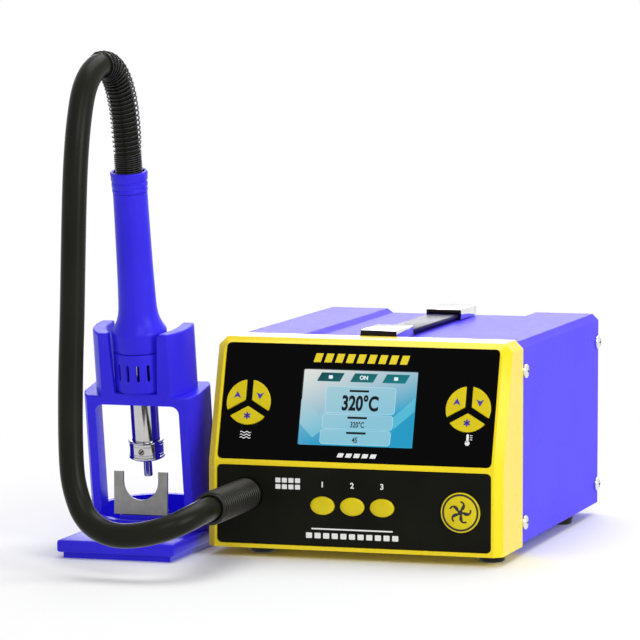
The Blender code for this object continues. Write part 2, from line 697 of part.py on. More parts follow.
def make_panels(station, lean):
    """The gloss upper panel with the display and key rings, and the lower panel."""
    side = WINDOW_WIDTH / 2 - GAP
    front = PANEL_SINK
    back = PANEL_SINK + PANEL_THICKNESS
    rings = {"air": -KEY_RING_OFFSET, "temp": KEY_RING_OFFSET}
    holes = [rectangle((0, LCD_CENTRE), (LCD_WIDTH, LCD_HEIGHT))]
    for x in rings.values():
        for start in KEY_THIRDS.values():
            hole = key_outline(KEY_RING_RADIUS + GAP, KEY_SPACING / 2 - GAP, start)
            holes.append(moved(hole, (x, KEY_RING_CENTRE)))
    outline = rounded_rectangle((-side, UPPER_WINDOW[0] + GAP), (side, UPPER_WINDOW[1] - GAP),
                                WINDOW_CORNER)
    extrusion("upper_panel", [outline] + holes, "XZ", front, back, "panel", lean)
    for ring, x in rings.items():
        for third, start in KEY_THIRDS.items():
            centre = (x, KEY_RING_CENTRE)
            outline = moved(key_outline(KEY_RING_RADIUS, KEY_SPACING / 2, start), centre)
            extrusion(f"{ring}_{third}_key", [outline], "XZ", front - KEY_STAND_OUT,
                      front - KEY_STAND_OUT + KEY_DEPTH, "key", lean, (x, front, KEY_RING_CENTRE))

    outline = rounded_rectangle((-side, LOWER_WINDOW[0] + GAP), (side, LOWER_WINDOW[1] - GAP),
                                WINDOW_CORNER)
    holes = [circle(HOSE_OUTLET, SLEEVE_RADIUS + GAP, 32)]
    for column in range(3):
        x = OVAL_CENTRE[0] + (column - 1) * OVAL_PITCH
        holes.append(ellipse((x, OVAL_CENTRE[1]), OVAL_WIDTH + 2 * GAP, OVAL_HEIGHT + 2 * GAP))
        key = ellipse((x, OVAL_CENTRE[1]), OVAL_WIDTH, OVAL_HEIGHT)
        cap = extrusion(f"channel_key_{column + 1}", [key], "XZ", front - KEY_STAND_OUT,
                        front - KEY_STAND_OUT + KEY_DEPTH, "key", station, (x, front, OVAL_CENTRE[1]))
        soften(cap, 0.5 * MM, 1)
    extrusion("lower_panel", [outline] + holes, "XZ", front, back, "lower_panel", station)

    extrusion("front_badge", [circle(BADGE_CENTRE, BADGE_RADIUS, 32)], "XZ",
              front - GAP - BADGE_THICKNESS, front - GAP, "bezel", station)


def make_display(lean):
    """The display's glass, its module and the board with the key switches behind it."""
    glass = rectangle((0, LCD_CENTRE), (LCD_WIDTH - 2 * GAP, LCD_HEIGHT - 2 * GAP))
    back = PANEL_SINK + PANEL_THICKNESS
    extrusion("display_glass", [glass], "XZ", PANEL_SINK + 0.5 * MM, back, "screen", lean)
    wider = (LCD_WIDTH + 2 * LCD_MARGIN, LCD_HEIGHT + 2 * LCD_MARGIN)
    module = rectangle((0, LCD_CENTRE), wider)
    module_back = back + GAP + MODULE_DEPTH
    extrusion("display_module", [module], "XZ", back + GAP, module_back, "steel", lean)
    half = WINDOW_WIDTH / 2 - 2 * WINDOW_LEDGE
    low = UPPER_WINDOW[0] + 2 * WINDOW_LEDGE
    high = UPPER_WINDOW[1] - 2 * WINDOW_LEDGE
    outline = rounded_rectangle((-half, low), (half, high), WINDOW_CORNER)
    front = module_back + GAP
    board = extrusion("key_board", [outline], "XZ", front, front + BOARD_THICKNESS, "board", lean)
    plunger = PANEL_SINK - KEY_STAND_OUT + KEY_DEPTH + KEY_TRAVEL + GAP
    for x in (-KEY_RING_OFFSET, KEY_RING_OFFSET):
        for name, start in KEY_THIRDS.items():
            middle = math.radians(start + 60)
            at = (x + KEY_RING_RADIUS * 0.6 * math.cos(middle),
                  KEY_RING_CENTRE + KEY_RING_RADIUS * 0.6 * math.sin(middle))
            switch = extrusion(f"switch_{x:.2f}_{name}", [rectangle(at, (KEY_SWITCH, KEY_SWITCH))], "XZ",
                               plunger, front + BOARD_THICKNESS / 2, None, lean)
            combine(board, switch, "UNION")


def make_channel_board(station):
    """The small board behind the channel keys, with its three switches."""
    front = PANEL_SINK - KEY_STAND_OUT + KEY_DEPTH + KEY_TRAVEL + GAP
    board_front = front + SWITCH_LIFT
    size = (3 * OVAL_PITCH, CHANNEL_BOARD_HEIGHT)
    board = extrusion("channel_board", [rectangle(OVAL_CENTRE, size)], "XZ", board_front,
                      board_front + BOARD_THICKNESS, "board", station)
    for column in range(3):
        at = (OVAL_CENTRE[0] + (column - 1) * OVAL_PITCH, OVAL_CENTRE[1])
        switch = extrusion(f"channel_switch_{column}", [rectangle(at, (KEY_SWITCH, KEY_SWITCH))], "XZ",
                           front, board_front + BOARD_THICKNESS / 2, None, station)
        combine(board, switch, "UNION")
    behind_panel = PANEL_SINK + PANEL_THICKNESS + GAP
    reach = (size[0] / 2 - CHANNEL_POST_INSET[0], size[1] / 2 - CHANNEL_POST_INSET[1])
    for sx in (-1, 1):
        for sz in (-1, 1):
            at = (OVAL_CENTRE[0] + sx * reach[0], OVAL_CENTRE[1] + sz * reach[1])
            post = extrusion(f"channel_post_{sx}_{sz}", [circle(at, CHANNEL_POST_RADIUS, 10)], "XZ",
                             behind_panel, board_front + BOARD_THICKNESS / 2, None, station)
            combine(board, post, "UNION")


def make_feet(station):
    """Four rubber feet: two under the bezel and two under the pan."""
    places = {
        "foot_front_left": (FOOT_LEFT, FOOT_FRONT, BEZEL_UNDERSIDE),
        "foot_front_right": (FOOT_RIGHT, FOOT_FRONT, BEZEL_UNDERSIDE),
        "foot_rear_left": (FOOT_LEFT, FOOT_REAR, CASE_UNDERSIDE),
        "foot_rear_right": (FOOT_RIGHT, FOOT_REAR, CASE_UNDERSIDE),
    }
    taper = FOOT_TAPER
    for name, (x, y, under) in places.items():
        top = under - GAP
        profile = [(0, top), (FOOT_RADIUS, top), (FOOT_RADIUS - taper, taper), (FOOT_RADIUS - 2 * taper, 0),
                   (0, 0)]
        turned(name, profile, "rubber", station, (x, y, 0), steps=24)


def make_side_screws(station, pieces):
    """Dome-headed screws through the cover into the bezel's rim, the pan and the rear panel."""
    cover, pan, rear, bezel = pieces
    carriers = {("front", "low"): bezel, ("front", "high"): bezel, ("rear", "low"): pan,
                ("rear", "high"): rear}
    lengthwise = {"front": SCREW_FRONT, "rear": SCREW_REAR}
    heights = {"low": SCREW_LOW, "high": SCREW_HIGH}
    head = [(0, SCREW_HEAD_HEIGHT)]
    head += [(SCREW_HEAD_RADIUS * math.sin(a), SCREW_HEAD_HEIGHT * (0.35 + 0.65 * math.cos(a)))
             for a in (math.radians(25), math.radians(50), math.radians(75), math.radians(90))]
    head += [(SCREW_HEAD_RADIUS, 0), (SCREW_SHANK_RADIUS, 0), (SCREW_SHANK_RADIUS, -SCREW_LENGTH),
             (0, -SCREW_LENGTH)]
    seat = CASE_WIDTH / 2 + GAP
    for (end, level), carrier in carriers.items():
        y, z = lengthwise[end], heights[level]
        drill = rod(f"drill_{end}_{level}", SCREW_SHANK_RADIUS + GAP, -REACH / 2, REACH / 2, None, station,
                    (0, y, z), (0, math.pi / 2, 0), 12)
        combine(cover, drill)
        combine(carrier, drill)
        for side, turn in (("right", math.pi / 2), ("left", -math.pi / 2)):
            x = seat if side == "right" else -seat
            turned(f"screw_{side}_{end}_{level}", head, "chrome", station, (x, y, z), (0, turn, 0), 12)


def make_handle(station):
    """Two chromed caps on the channel's floor and the strap that slides in them."""
    floor = CASE_TOP - CHANNEL_DEPTH + GAP
    half = CAP_WIDTH / 2
    strap_low = floor + STRAP_LIFT
    socket_half = STRAP_WIDTH / 2 + GAP
    spans = {"handle_cap_front": (CAP_FRONT, CAP_FRONT + CAP_LENGTH),
             "handle_cap_rear": (CAP_REAR - CAP_LENGTH, CAP_REAR)}
    for name, (start, end) in spans.items():
        cap = block(name, (-half, start, floor), (half, end, floor + CAP_HEIGHT), "chrome", station)
        soften(cap, 0.9 * MM)
        mouth = end if start == CAP_FRONT else start
        socket = block(name + "_socket", (-socket_half, mouth - CAP_SOCKET, strap_low - GAP),
                       (socket_half, mouth + CAP_SOCKET, strap_low + STRAP_THICKNESS + GAP), None, station)
        combine(cap, socket)
    start = CAP_FRONT + CAP_LENGTH - CAP_SOCKET + GAP
    end = CAP_REAR - CAP_LENGTH + CAP_SOCKET - GAP
    strap = block("handle_strap", (-STRAP_WIDTH / 2, start, strap_low),
                  (STRAP_WIDTH / 2, end, strap_low + STRAP_THICKNESS), "rubber", station)
    soften(strap, 0.8 * MM)


def make_inlet(station):
    """The mains inlet: a flanged body with a six-sided socket, its three pins and a fuse drawer."""
    face = CASE_REAR - GAP
    x, z = INLET_CENTRE
    back = face + GAP + FLANGE_THICKNESS
    flange = extrusion("power_inlet", [rectangle(INLET_CENTRE, INLET_FLANGE)], "XZ", face + GAP, back,
                       "black", station)
    body = extrusion("inlet_body", [rectangle(INLET_CENTRE, INLET_BODY)], "XZ", back - INLET_DEPTH,
                     back - FLANGE_THICKNESS / 2, None, station)
    combine(flange, body, "UNION")
    width, height = SOCKET_SIZE
    rise = z + SOCKET_RISE
    cut = height * 0.28
    outline = [(x - width / 2, rise - height / 2), (x + width / 2, rise - height / 2),
               (x + width / 2, rise + height / 2 - cut), (x + width / 2 - cut, rise + height / 2),
               (x - width / 2 + cut, rise + height / 2), (x - width / 2, rise + height / 2 - cut)]
    socket = extrusion("inlet_socket", [outline], "XZ", back - SOCKET_DEPTH, back + MM, None, station)
    combine(flange, socket)
    for column, lift in ((-1, -1), (0, 1), (1, -1)):
        at = (x + column * PIN_PITCH, rise + lift * PIN_STAGGER)
        pin = extrusion(f"inlet_pin_{column}", [rectangle(at, PIN_SIZE)], "XZ", back - SOCKET_DEPTH - MM,
                        back - SOCKET_DEPTH + PIN_LENGTH, None, station)
        combine(flange, pin, "UNION")
    drawer_at = (x, z - DRAWER_DROP)
    chamber = (DRAWER_FACE[0] + 2 * GAP, DRAWER_FACE[1] + 2 * GAP)
    pocket = extrusion("drawer_pocket", [rectangle(drawer_at, chamber)], "XZ", back - DRAWER_DEPTH - GAP,
                       back + MM, None, station)
    combine(flange, pocket)
    grip = extrusion("fuse_drawer", [rectangle(drawer_at, DRAWER_FACE)], "XZ", back - DRAWER_DEPTH,
                     back + DRAWER_STAND_OUT, "black", station, (x, back, drawer_at[1]))
    length = DRAWER_FACE[0] - 2 * DRAWER_WALL
    low = drawer_at[1] + DRAWER_FACE[1] / 2 - FUSE_RADIUS
    front = back - DRAWER_DEPTH + DRAWER_WALL
    bay = block("fuse_bay", (x - length / 2, front, low),
                (x + length / 2, front + 3 * FUSE_RADIUS, low + REACH / 8), None, station)
    combine(grip, bay)
    at = (x, front + 1.5 * FUSE_RADIUS, low)
    fuse = rod("fuse", FUSE_RADIUS, -length / 2 - MM, length / 2 + MM, None, station, at,
               (0, math.pi / 2, 0), 12)
    combine(grip, fuse, "UNION")


def make_switch(station):
    """The rocker switch: a framed body and the rocker that tilts in it."""
    face = CASE_REAR - GAP
    back = face + GAP + FLANGE_THICKNESS
    x, z = SWITCH_CENTRE
    frame = extrusion("switch_frame", [rectangle(SWITCH_CENTRE, SWITCH_FRAME)], "XZ", face + GAP, back,
                      "black", station)
    body = extrusion("switch_body", [rectangle(SWITCH_CENTRE, SWITCH_BODY)], "XZ", back - SWITCH_DEPTH,
                     back - FLANGE_THICKNESS / 2, None, station)
    combine(frame, body, "UNION")
    well = (ROCKER_SIZE[0] + 2 * GAP, ROCKER_SIZE[1] + 4 * GAP)
    pocket = extrusion("switch_well", [rectangle(SWITCH_CENTRE, well)], "XZ",
                       back - ROCKER_DEPTH - ROCKER_PIVOT, back + MM, None, station)
    combine(frame, pocket)
    reach = ROCKER_SIZE[1] / 2
    face = ROCKER_PIVOT + ROCKER_STAND_OUT
    outline = [(-ROCKER_DEPTH / 2, -ROCKER_KEEL), (0, -reach), (face, -reach), (face - ROCKER_DISH, 0),
               (face, reach), (0, reach), (-ROCKER_DEPTH / 2, ROCKER_KEEL)]
    half = ROCKER_SIZE[0] / 2
    rocker = extrusion("power_rocker", [outline], "YZ", -half, half, "black", station)
    rocker.location = (x, back - ROCKER_PIVOT, z)
    rocker.rotation_euler = (-ROCKER_TILT, 0, 0)


def blower_outline(radius, width, front):
    """The blower's scroll from above: a round part that runs into a straight outlet."""
    left = HOSE_OUTLET[0] - width / 2
    right = HOSE_OUTLET[0] + width / 2
    reach = math.degrees(math.acos(min(1, (BLOWER_CENTRE[0] - right) / radius)))
    return arc(BLOWER_CENTRE, radius, 180 + reach, 540, 28) + [(left, front), (right, front)]


def make_air_path(station):
    """The blower with its motor and impeller, and the duct from it to the hose sleeve."""
    outlet_x, outlet_z = HOSE_OUTLET
    low = outlet_z - BLOWER_HEIGHT / 2
    high = outlet_z + BLOWER_HEIGHT / 2
    mouth = BLOWER_Y - BLOWER_RADIUS - OUTLET_REACH
    outside = blower_outline(BLOWER_RADIUS, OUTLET_WIDTH, mouth)
    housing = extrusion("blower_housing", [outside], "XY", low, high, "black", station)
    inside = blower_outline(BLOWER_RADIUS - BLOWER_WALL, OUTLET_WIDTH - 2 * BLOWER_WALL, mouth - MM)
    combine(housing, extrusion("blower_cavity", [inside], "XY", low + BLOWER_WALL, high - BLOWER_WALL,
                               None, station))
    at = (*BLOWER_CENTRE, 0)
    combine(housing, rod("blower_inlet", BLOWER_INLET, high - 2 * BLOWER_WALL, high + MM, None, station,
                         at))
    combine(housing, rod("shaft_hole", SHAFT_RADIUS + GAP, low - MM, low + 2 * BLOWER_WALL, None, station,
                         at, steps=16))

    floor = low + BLOWER_WALL + MM
    disc = floor + IMPELLER_DISC
    profile = [(0, floor + HUB_HEIGHT), (HUB_RADIUS, floor + HUB_HEIGHT), (HUB_RADIUS, disc),
               (IMPELLER_RADIUS, disc), (IMPELLER_RADIUS, floor), (SHAFT_RADIUS, floor),
               (SHAFT_RADIUS, low - SHAFT_REACH), (0, low - SHAFT_REACH)]
    wheel = turned("impeller", profile, "steel", station, at, steps=24)
    blade_top = high - 2 * BLOWER_WALL
    for blade in range(IMPELLER_BLADES):
        vane = block(f"vane_{blade}", (BLADE_ROOT, -BLADE_THICKNESS / 2, floor + IMPELLER_DISC / 2),
                     (IMPELLER_RADIUS - BLADE_THICKNESS / 2, BLADE_THICKNESS / 2, blade_top), None,
                     station, (0, 0, 0))
        vane.location = at
        vane.rotation_euler = (0, 0, 2 * math.pi * blade / IMPELLER_BLADES)
        combine(wheel, vane, "UNION")

    foot = CASE_UNDERSIDE + SHEET + GAP
    top = low - GAP
    bore = SHAFT_RADIUS + GAP
    bore_floor = low - SHAFT_REACH - GAP
    profile = [(0, bore_floor), (bore, bore_floor), (bore, top), (MOTOR_RADIUS, top), (MOTOR_RADIUS, foot),
               (0, foot)]
    turned("blower_motor", profile, "steel", station, at, steps=24)

    inner = DUCT_RADIUS - DUCT_WALL
    end = mouth - GAP
    profile = [(DUCT_FLANGE_RADIUS, end), (DUCT_FLANGE_RADIUS, end - DUCT_FLANGE),
               (DUCT_RADIUS, end - DUCT_FLANGE), (DUCT_RADIUS, DUCT_FRONT), (inner, DUCT_FRONT), (inner, end)]
    turned("air_duct", profile, "rubber", station, (outlet_x, 0, outlet_z), (-math.pi / 2, 0, 0), 24, True)


def make_electronics(station):
    """The transformer and the main board, on the pan's floor."""
    foot = CASE_UNDERSIDE + SHEET + GAP
    width, length, height = TRANSFORMER_SIZE
    x, y = TRANSFORMER_CENTRE
    core = block("transformer", (x - width / 2, y - length / 2, foot),
                 (x + width / 2, y + length / 2, foot + height), "steel", station)
    coil_end = length / 2 + COIL_OVERHANG
    coil = block("transformer_coil", (x - COIL_WIDTH / 2, y - coil_end, foot + COIL_INSET),
                 (x + COIL_WIDTH / 2, y + coil_end, foot + height - COIL_INSET), None, station)
    combine(core, coil, "UNION")

    left, right = MAIN_BOARD_SPAN
    front, rear = MAIN_BOARD_FRONT, MAIN_BOARD_REAR
    x = (left + right) / 2
    top = foot + BOARD_POST + BOARD_THICKNESS
    inside = top - BOARD_THICKNESS / 2
    board = block("main_board", (left, front, foot + BOARD_POST), (right, rear, top), "board", station)
    for post_x in (left + BOARD_POST_INSET, right - BOARD_POST_INSET):
        for post_y in (front + BOARD_POST_INSET, rear - BOARD_POST_INSET):
            post = rod(f"board_post_{post_x:.2f}_{post_y:.2f}", BOARD_POST_RADIUS, foot, inside, None,
                       station, (post_x, post_y, 0), steps=12)
            combine(board, post, "UNION")
    half = (right - left) * SINK_SHARE / 2
    middle = rear - SINK_MARGIN
    sink = block("heat_sink", (x - half, middle - SINK_THICKNESS / 2, inside),
                 (x + half, middle + SINK_THICKNESS / 2, top + SINK_HEIGHT), None, station)
    combine(board, sink, "UNION")
    for index in range(2):
        can = rod(f"capacitor_{index}", CAN_RADIUS, inside, top + CAN_HEIGHT, None, station,
                  (x + (index - 0.5) * CAN_PITCH, front + CAN_MARGIN, 0), steps=16)
        combine(board, can, "UNION")


def make_sleeve(station):
    """The ribbed strain relief that holds the hose where it leaves the console."""
    x, z = HOSE_OUTLET
    mouth = -SLEEVE_LENGTH
    inside = PANEL_SINK + PANEL_THICKNESS + GAP
    tail = DUCT_FRONT - GAP
    bore = HOSE_RADIUS + GAP
    profile = [(bore, mouth + SLEEVE_SOCKET), (bore, mouth), (SLEEVE_RADIUS - SLEEVE_GROOVE, mouth)]
    start = mouth + SLEEVE_LIP
    pitch = (-SLEEVE_LIP - start) / SLEEVE_RIBS
    root = SLEEVE_RADIUS - SLEEVE_GROOVE
    for rib in range(SLEEVE_RIBS):
        y = start + rib * pitch
        profile += [(root, y), (SLEEVE_RADIUS, y + pitch * 0.25), (SLEEVE_RADIUS, y + pitch * 0.75)]
    flange = inside + SLEEVE_FLANGE
    profile += [(SLEEVE_RADIUS, inside), (SLEEVE_FLANGE_RADIUS, inside), (SLEEVE_FLANGE_RADIUS, flange),
                (SLEEVE_RADIUS, flange), (SLEEVE_RADIUS, tail), (DUCT_RADIUS - DUCT_WALL, tail),
                (DUCT_RADIUS - DUCT_WALL, mouth + SLEEVE_SOCKET)]
    turned("hose_sleeve", profile[::-1], "rubber", station, (x, 0, z), (-math.pi / 2, 0, 0), 16, True)


def along_axis(distance):
    """A point on the handpiece's axis, in the station's frame."""
    return TIP + Vector((0, -math.sin(LEAN), math.cos(LEAN))) * distance


def hose_line():
    """The hose's centreline: straight out of the sleeve, along the route, into the ring."""
    x, z = HOSE_OUTLET
    mouth = -SLEEVE_LENGTH
    run = [Vector((x, mouth + SLEEVE_SOCKET - GAP, z)), Vector((x, mouth, z))]
    run += [Vector(point) * MM + Vector((x, 0, 0)) for point in HOSE_ROUTE]
    run += [along_axis(RING_TOP + GAP), along_axis(RING_TOP - HOSE_SOCKET + GAP)]
    padded = [run[0] * 2 - run[1]] + run + [run[-1] * 2 - run[-2]]
    line = []
    for a, b, c, d in zip(padded, padded[1:], padded[2:], padded[3:]):
        line += [b, (9 * b + 9 * c - a - d) / 16]
    return line + [run[-1]]


def tube(name, line, radius, look, parent=None):
    """A round tube along a line of points, with closed ends."""
    curve = bpy.data.curves.new(name, "CURVE")
    curve.dimensions = "3D"
    curve.bevel_depth = radius
    curve.bevel_resolution = 3
    curve.use_fill_caps = True
    spline = curve.splines.new("POLY")
    spline.points.add(len(line) - 1)
    for point, place in zip(spline.points, line):
        point.co = (*place, 1)
    drawn = bpy.data.objects.new(name + "_line", curve)
    CUTTERS.objects.link(drawn)
    graph = bpy.context.evaluated_depsgraph_get()
    graph.update()
    mesh = bpy.data.meshes.new_from_object(drawn.evaluated_get(graph))
    bpy.data.objects.remove(drawn, do_unlink=True)
    bm = bmesh.new()
    bm.from_mesh(mesh)
    bmesh.ops.remove_doubles(bm, verts=bm.verts, dist=1e-6)
    return add_object(name, to_mesh(name, bm), look, parent)


def make_hose(station):
    """The hose as one tube, and the spring over its handpiece end as a sleeve round it."""
    line = hose_line()
    tube("air_hose", line, HOSE_RADIUS, "rubber", station)
    foot = len(line) - 3
    guarded = line[foot - 2 * SPRING_SPANS:foot + 1]
    guard = tube("hose_spring", guarded, HOSE_RADIUS + GAP + SPRING_WIRE, "steel", station)
    combine(guard, tube("spring_bore", line, HOSE_RADIUS + GAP, None, station))


def make_stand_base(station):
    """The stand's flat foot: a slab on an inset plinth, with the block that carries the fork."""
    half = BASE_WIDTH / 2
    x = STAND_CENTRE
    base = block("stand_base", (x - half, BASE_FRONT, PLINTH_HEIGHT), (x + half, BASE_REAR, BASE_TOP),
                 "stand", station)
    soften(base, BASE_EDGE)
    inner = half - PLINTH_INSET
    plinth = block("stand_plinth", (x - inner, BASE_FRONT + PLINTH_INSET, 0),
                   (x + inner, BASE_REAR - PLINTH_INSET, PLINTH_HEIGHT + BASE_EDGE), None, station)
    combine(base, plinth, "UNION")
    seat = block("fork_block", (x - BLOCK_WIDTH / 2, FORK_FRONT, BASE_TOP - BASE_EDGE),
                 (x + BLOCK_WIDTH / 2, FORK_FRONT + FORK_LEDGE, FORK_FOOT - GAP), None, station)
    combine(base, seat, "UNION")


def make_fork(station):
    """The bent steel plate whose slot pulls a hot nozzle off."""
    x = STAND_CENTRE
    half = FORK_WIDTH / 2
    slot_centre = FORK_SLOT_FLOOR + FORK_SLOT
    outline = [(x - half, FORK_FOOT), (x + half, FORK_FOOT), (x + half, FORK_TOP), (x + FORK_SLOT, FORK_TOP)]
    outline += arc((x, slot_centre), FORK_SLOT, 0, -180, 12)
    outline += [(x - FORK_SLOT, FORK_TOP), (x - half, FORK_TOP)]
    fork = extrusion("nozzle_fork", [outline], "XZ", FORK_FRONT, FORK_FRONT + FORK_PLATE, "steel", station)
    ledge = block("fork_ledge", (x - BLOCK_WIDTH / 2, FORK_FRONT + FORK_PLATE / 2, FORK_FOOT),
                  (x + BLOCK_WIDTH / 2, FORK_FRONT + FORK_LEDGE, FORK_FOOT + FORK_PLATE), None, station)
    combine(fork, ledge, "UNION")
    at = (x, FORK_FRONT + FORK_SCREW_SETBACK, 0)
    drill = rod("fork_drill", FORK_SCREW_RADIUS + GAP, BASE_TOP - MM, FORK_FOOT + 2 * FORK_PLATE, None,
                station, at, steps=16)
    combine(fork, drill)
    combine(bpy.data.objects["stand_base"], drill)
    top = FORK_FOOT + FORK_PLATE + GAP
    radius, height = FORK_SCREW_HEAD
    edge = height / 3
    profile = [(0, top + height), (radius - edge, top + height), (radius, top + height - edge), (radius, top),
               (FORK_SCREW_RADIUS, top), (FORK_SCREW_RADIUS, BASE_TOP), (0, BASE_TOP)]
    turned("fork_screw", profile, "steel", station, at, steps=16)


def shell_outline(radius, flat):
    """The stand's round body with flat sides, seen along the leaning axis."""
    reach = math.degrees(math.acos(flat / radius))
    centre = (0, SHELL_SETBACK)
    return arc(centre, radius, reach, 180 - reach, 14) + arc(centre, radius, 180 + reach, 360 - reach, 14)


def rim_height(depth):
    """Height of the tub's rim along the axis, at a depth behind it."""
    return TUB_RIM - depth * math.tan(TUB_TILT)


def make_cradle(station, axis):
    """The leaning body: a round tub, two legs, a shelf with the tube's hole and two curved wings."""
    cradle = extrusion("stand_cradle", [shell_outline(SHELL_RADIUS, SHELL_FLAT)], "XY", SHELL_FOOT, CUP_TOP,
                       "stand", axis)
    far = REACH / 2
    below = block("cradle_foot_cut", (STAND_CENTRE - far, -far, -far),
                  (STAND_CENTRE + far, far, BASE_TOP + GAP), None, station)
    combine(cradle, below)
    around = [rectangle((0, 0), (far, far)), circle((0, CUP_SETBACK), CUP_RADIUS, 32)]
    combine(cradle, extrusion("shoulder_cut", around, "XY", SHOULDER, CUP_TOP + far, None, axis))
    ahead = [(FRONT_PLANE, rim_height(FRONT_PLANE)), (FRONT_PLANE, far), (-far, far), (-far, rim_height(-far))]
    combine(cradle, extrusion("front_cut", [ahead], "YZ", -far, far, None, axis))
    behind = [(LEG_REAR, rim_height(LEG_REAR)), (far, rim_height(far)), (far, CUP_TOP + MM),
              (LEG_REAR, CUP_TOP + MM), (LEG_REAR, SHOULDER), (SHOULDER_REAR, SHOULDER),
              (SHOULDER_REAR, SHELF_UNDER), (LEG_REAR, SHELF_UNDER)]
    combine(cradle, extrusion("rear_cut", [behind], "YZ", -far, far, None, axis))
    window = rounded_rectangle((-WINDOW_HALF, TUB_RIM - WINDOW_SINK), (WINDOW_HALF, SHELF_UNDER),
                               STAND_WINDOW_CORNER)
    jamb = FRONT_PLANE + JAMB_DEPTH
    combine(cradle, extrusion("window_cut", [window], "XZ", FRONT_PLANE - MM, jamb + MM, None, axis))
    inner_flat = SHELL_FLAT - SHELL_WALL
    wedge = [(-WINDOW_HALF, jamb), (WINDOW_HALF, jamb), (inner_flat, LEG_REAR), (inner_flat, far),
             (-inner_flat, far), (-inner_flat, LEG_REAR)]
    combine(cradle, extrusion("wedge_cut", [wedge], "XY", TUB_RIM - MM, SHELF_UNDER, None, axis))
    tub = shell_outline(SHELL_RADIUS - SHELL_WALL, inner_flat)
    tub_top = rim_height(SHELL_SETBACK - SHELL_RADIUS) + MM
    combine(cradle, extrusion("tub_cut", [tub], "XY", SHELL_FOOT - MM, tub_top, None, axis))
    combine(cradle, rod("tube_hole", TUBE_HOLE, SHELF_UNDER - MM, CUP_TOP, None, axis, steps=32))
    bore = arc((0, CUP_BORE_SETBACK), CUP_BORE, 180, 360, 18) + [(CUP_BORE, far), (-CUP_BORE, far)]
    combine(cradle, extrusion("cup_bore", [bore], "XY", SHELF_TOP, CUP_TOP + MM, None, axis))
    low, high = CUP_OPENING
    rise = high + (high - low) / (CUP_TOP - SHELF_TOP) * MM
    mouth = [(-low, SHELF_TOP), (low, SHELF_TOP), (rise, CUP_TOP + MM), (-rise, CUP_TOP + MM)]
    combine(cradle, extrusion("mouth_cut", [mouth], "XZ", -far, 0, None, axis))


def make_handpiece(axis):
    """The grip, its end ring, the slotted vent collar, the heater tube and its core."""
    wall = COLLAR_WALL
    seam = COLLAR_TOP + GAP
    profile = [(GRIP_RADIUS, GRIP_TOP), (GRIP_RADIUS, GRIP_STRAIGHT)]
    profile += [(radius * MM, height * MM) for radius, height in GRIP_NECK]
    bore = GRIP_RADIUS - GRIP_WALL
    profile += [(FLARE_RADIUS, FLARE_TOP), (COLLAR_RADIUS, FLARE_FOOT), (COLLAR_RADIUS, seam),
                (COLLAR_RADIUS - wall, seam), (COLLAR_RADIUS - wall, CHAMBER_TOP),
                (THROAT_RADIUS, THROAT_FOOT), (bore, THROAT_TOP), (bore, GRIP_TOP)]
    turned("handpiece_grip", profile, "stand", axis, steps=24, closed=True)

    hole = TUBE_RADIUS + GAP
    edge = 0.8 * MM
    profile = [(COLLAR_RADIUS - wall, COLLAR_TOP), (COLLAR_RADIUS, COLLAR_TOP),
               (COLLAR_RADIUS, COLLAR_FOOT + edge), (COLLAR_RADIUS - edge, COLLAR_FOOT), (hole, COLLAR_FOOT),
               (hole, COLLAR_FOOT + wall), (COLLAR_RADIUS - wall, COLLAR_FOOT + wall)]
    collar = turned("vent_collar", profile, "stand", axis, steps=32, closed=True)
    width, height = SLOT_SIZE
    for index in range(SLOT_COUNT // 2):
        turn = math.pi * 2 * (index + 0.5) / SLOT_COUNT
        slot = block(f"collar_slot_{index}", (-width / 2, -COLLAR_RADIUS - MM, SLOT_CENTRE - height / 2),
                     (width / 2, COLLAR_RADIUS + MM, SLOT_CENTRE + height / 2), None, axis, (0, 0, 0))
        slot.rotation_euler = (0, 0, turn)
        combine(collar, slot)

    socket = RING_TOP - HOSE_SOCKET
    profile = [(HOSE_RADIUS + GAP, RING_TOP), (RING_RADIUS - 0.5 * MM, RING_TOP)]
    groove = 0.6 * MM
    bands = 3
    pitch = (RING_TOP - GRIP_TOP - GAP - MM) / bands
    for band in range(bands):
        top = RING_TOP - 0.5 * MM - band * pitch
        profile += [(RING_RADIUS, top), (RING_RADIUS, top - pitch + 2 * groove),
                    (RING_RADIUS - groove, top - pitch + 1.4 * groove),
                    (RING_RADIUS - groove, top - pitch + 0.6 * groove)]
    profile += [(RING_RADIUS, GRIP_TOP + 0.6 * MM), (RING_RADIUS - 0.4 * MM, GRIP_TOP + GAP),
                (HOSE_RADIUS - MM, GRIP_TOP + GAP), (HOSE_RADIUS - MM, socket), (HOSE_RADIUS + GAP, socket)]
    turned("end_ring", profile, "stand", axis, steps=20, closed=True)

    bore = TUBE_RADIUS - TUBE_WALL
    profile = [(bore, TUBE_TOP), (TUBE_RADIUS, TUBE_TOP), (TUBE_RADIUS, TUBE_FOOT), (bore, TUBE_FOOT)]
    turned("heater_tube", profile, "chrome", axis, steps=24, closed=True)
    seat_foot, seat_top = CORE_SEAT
    profile = [(0, CORE_TOP), (CORE_NECK_RADIUS, CORE_TOP), (CORE_NECK_RADIUS, seat_top),
               (bore - GAP, seat_top), (bore - GAP, seat_foot), (CORE_RADIUS, seat_foot),
               (CORE_RADIUS, CORE_FOOT), (0, CORE_FOOT)]
    turned("heater_core", profile, "ceramic", axis, steps=16)


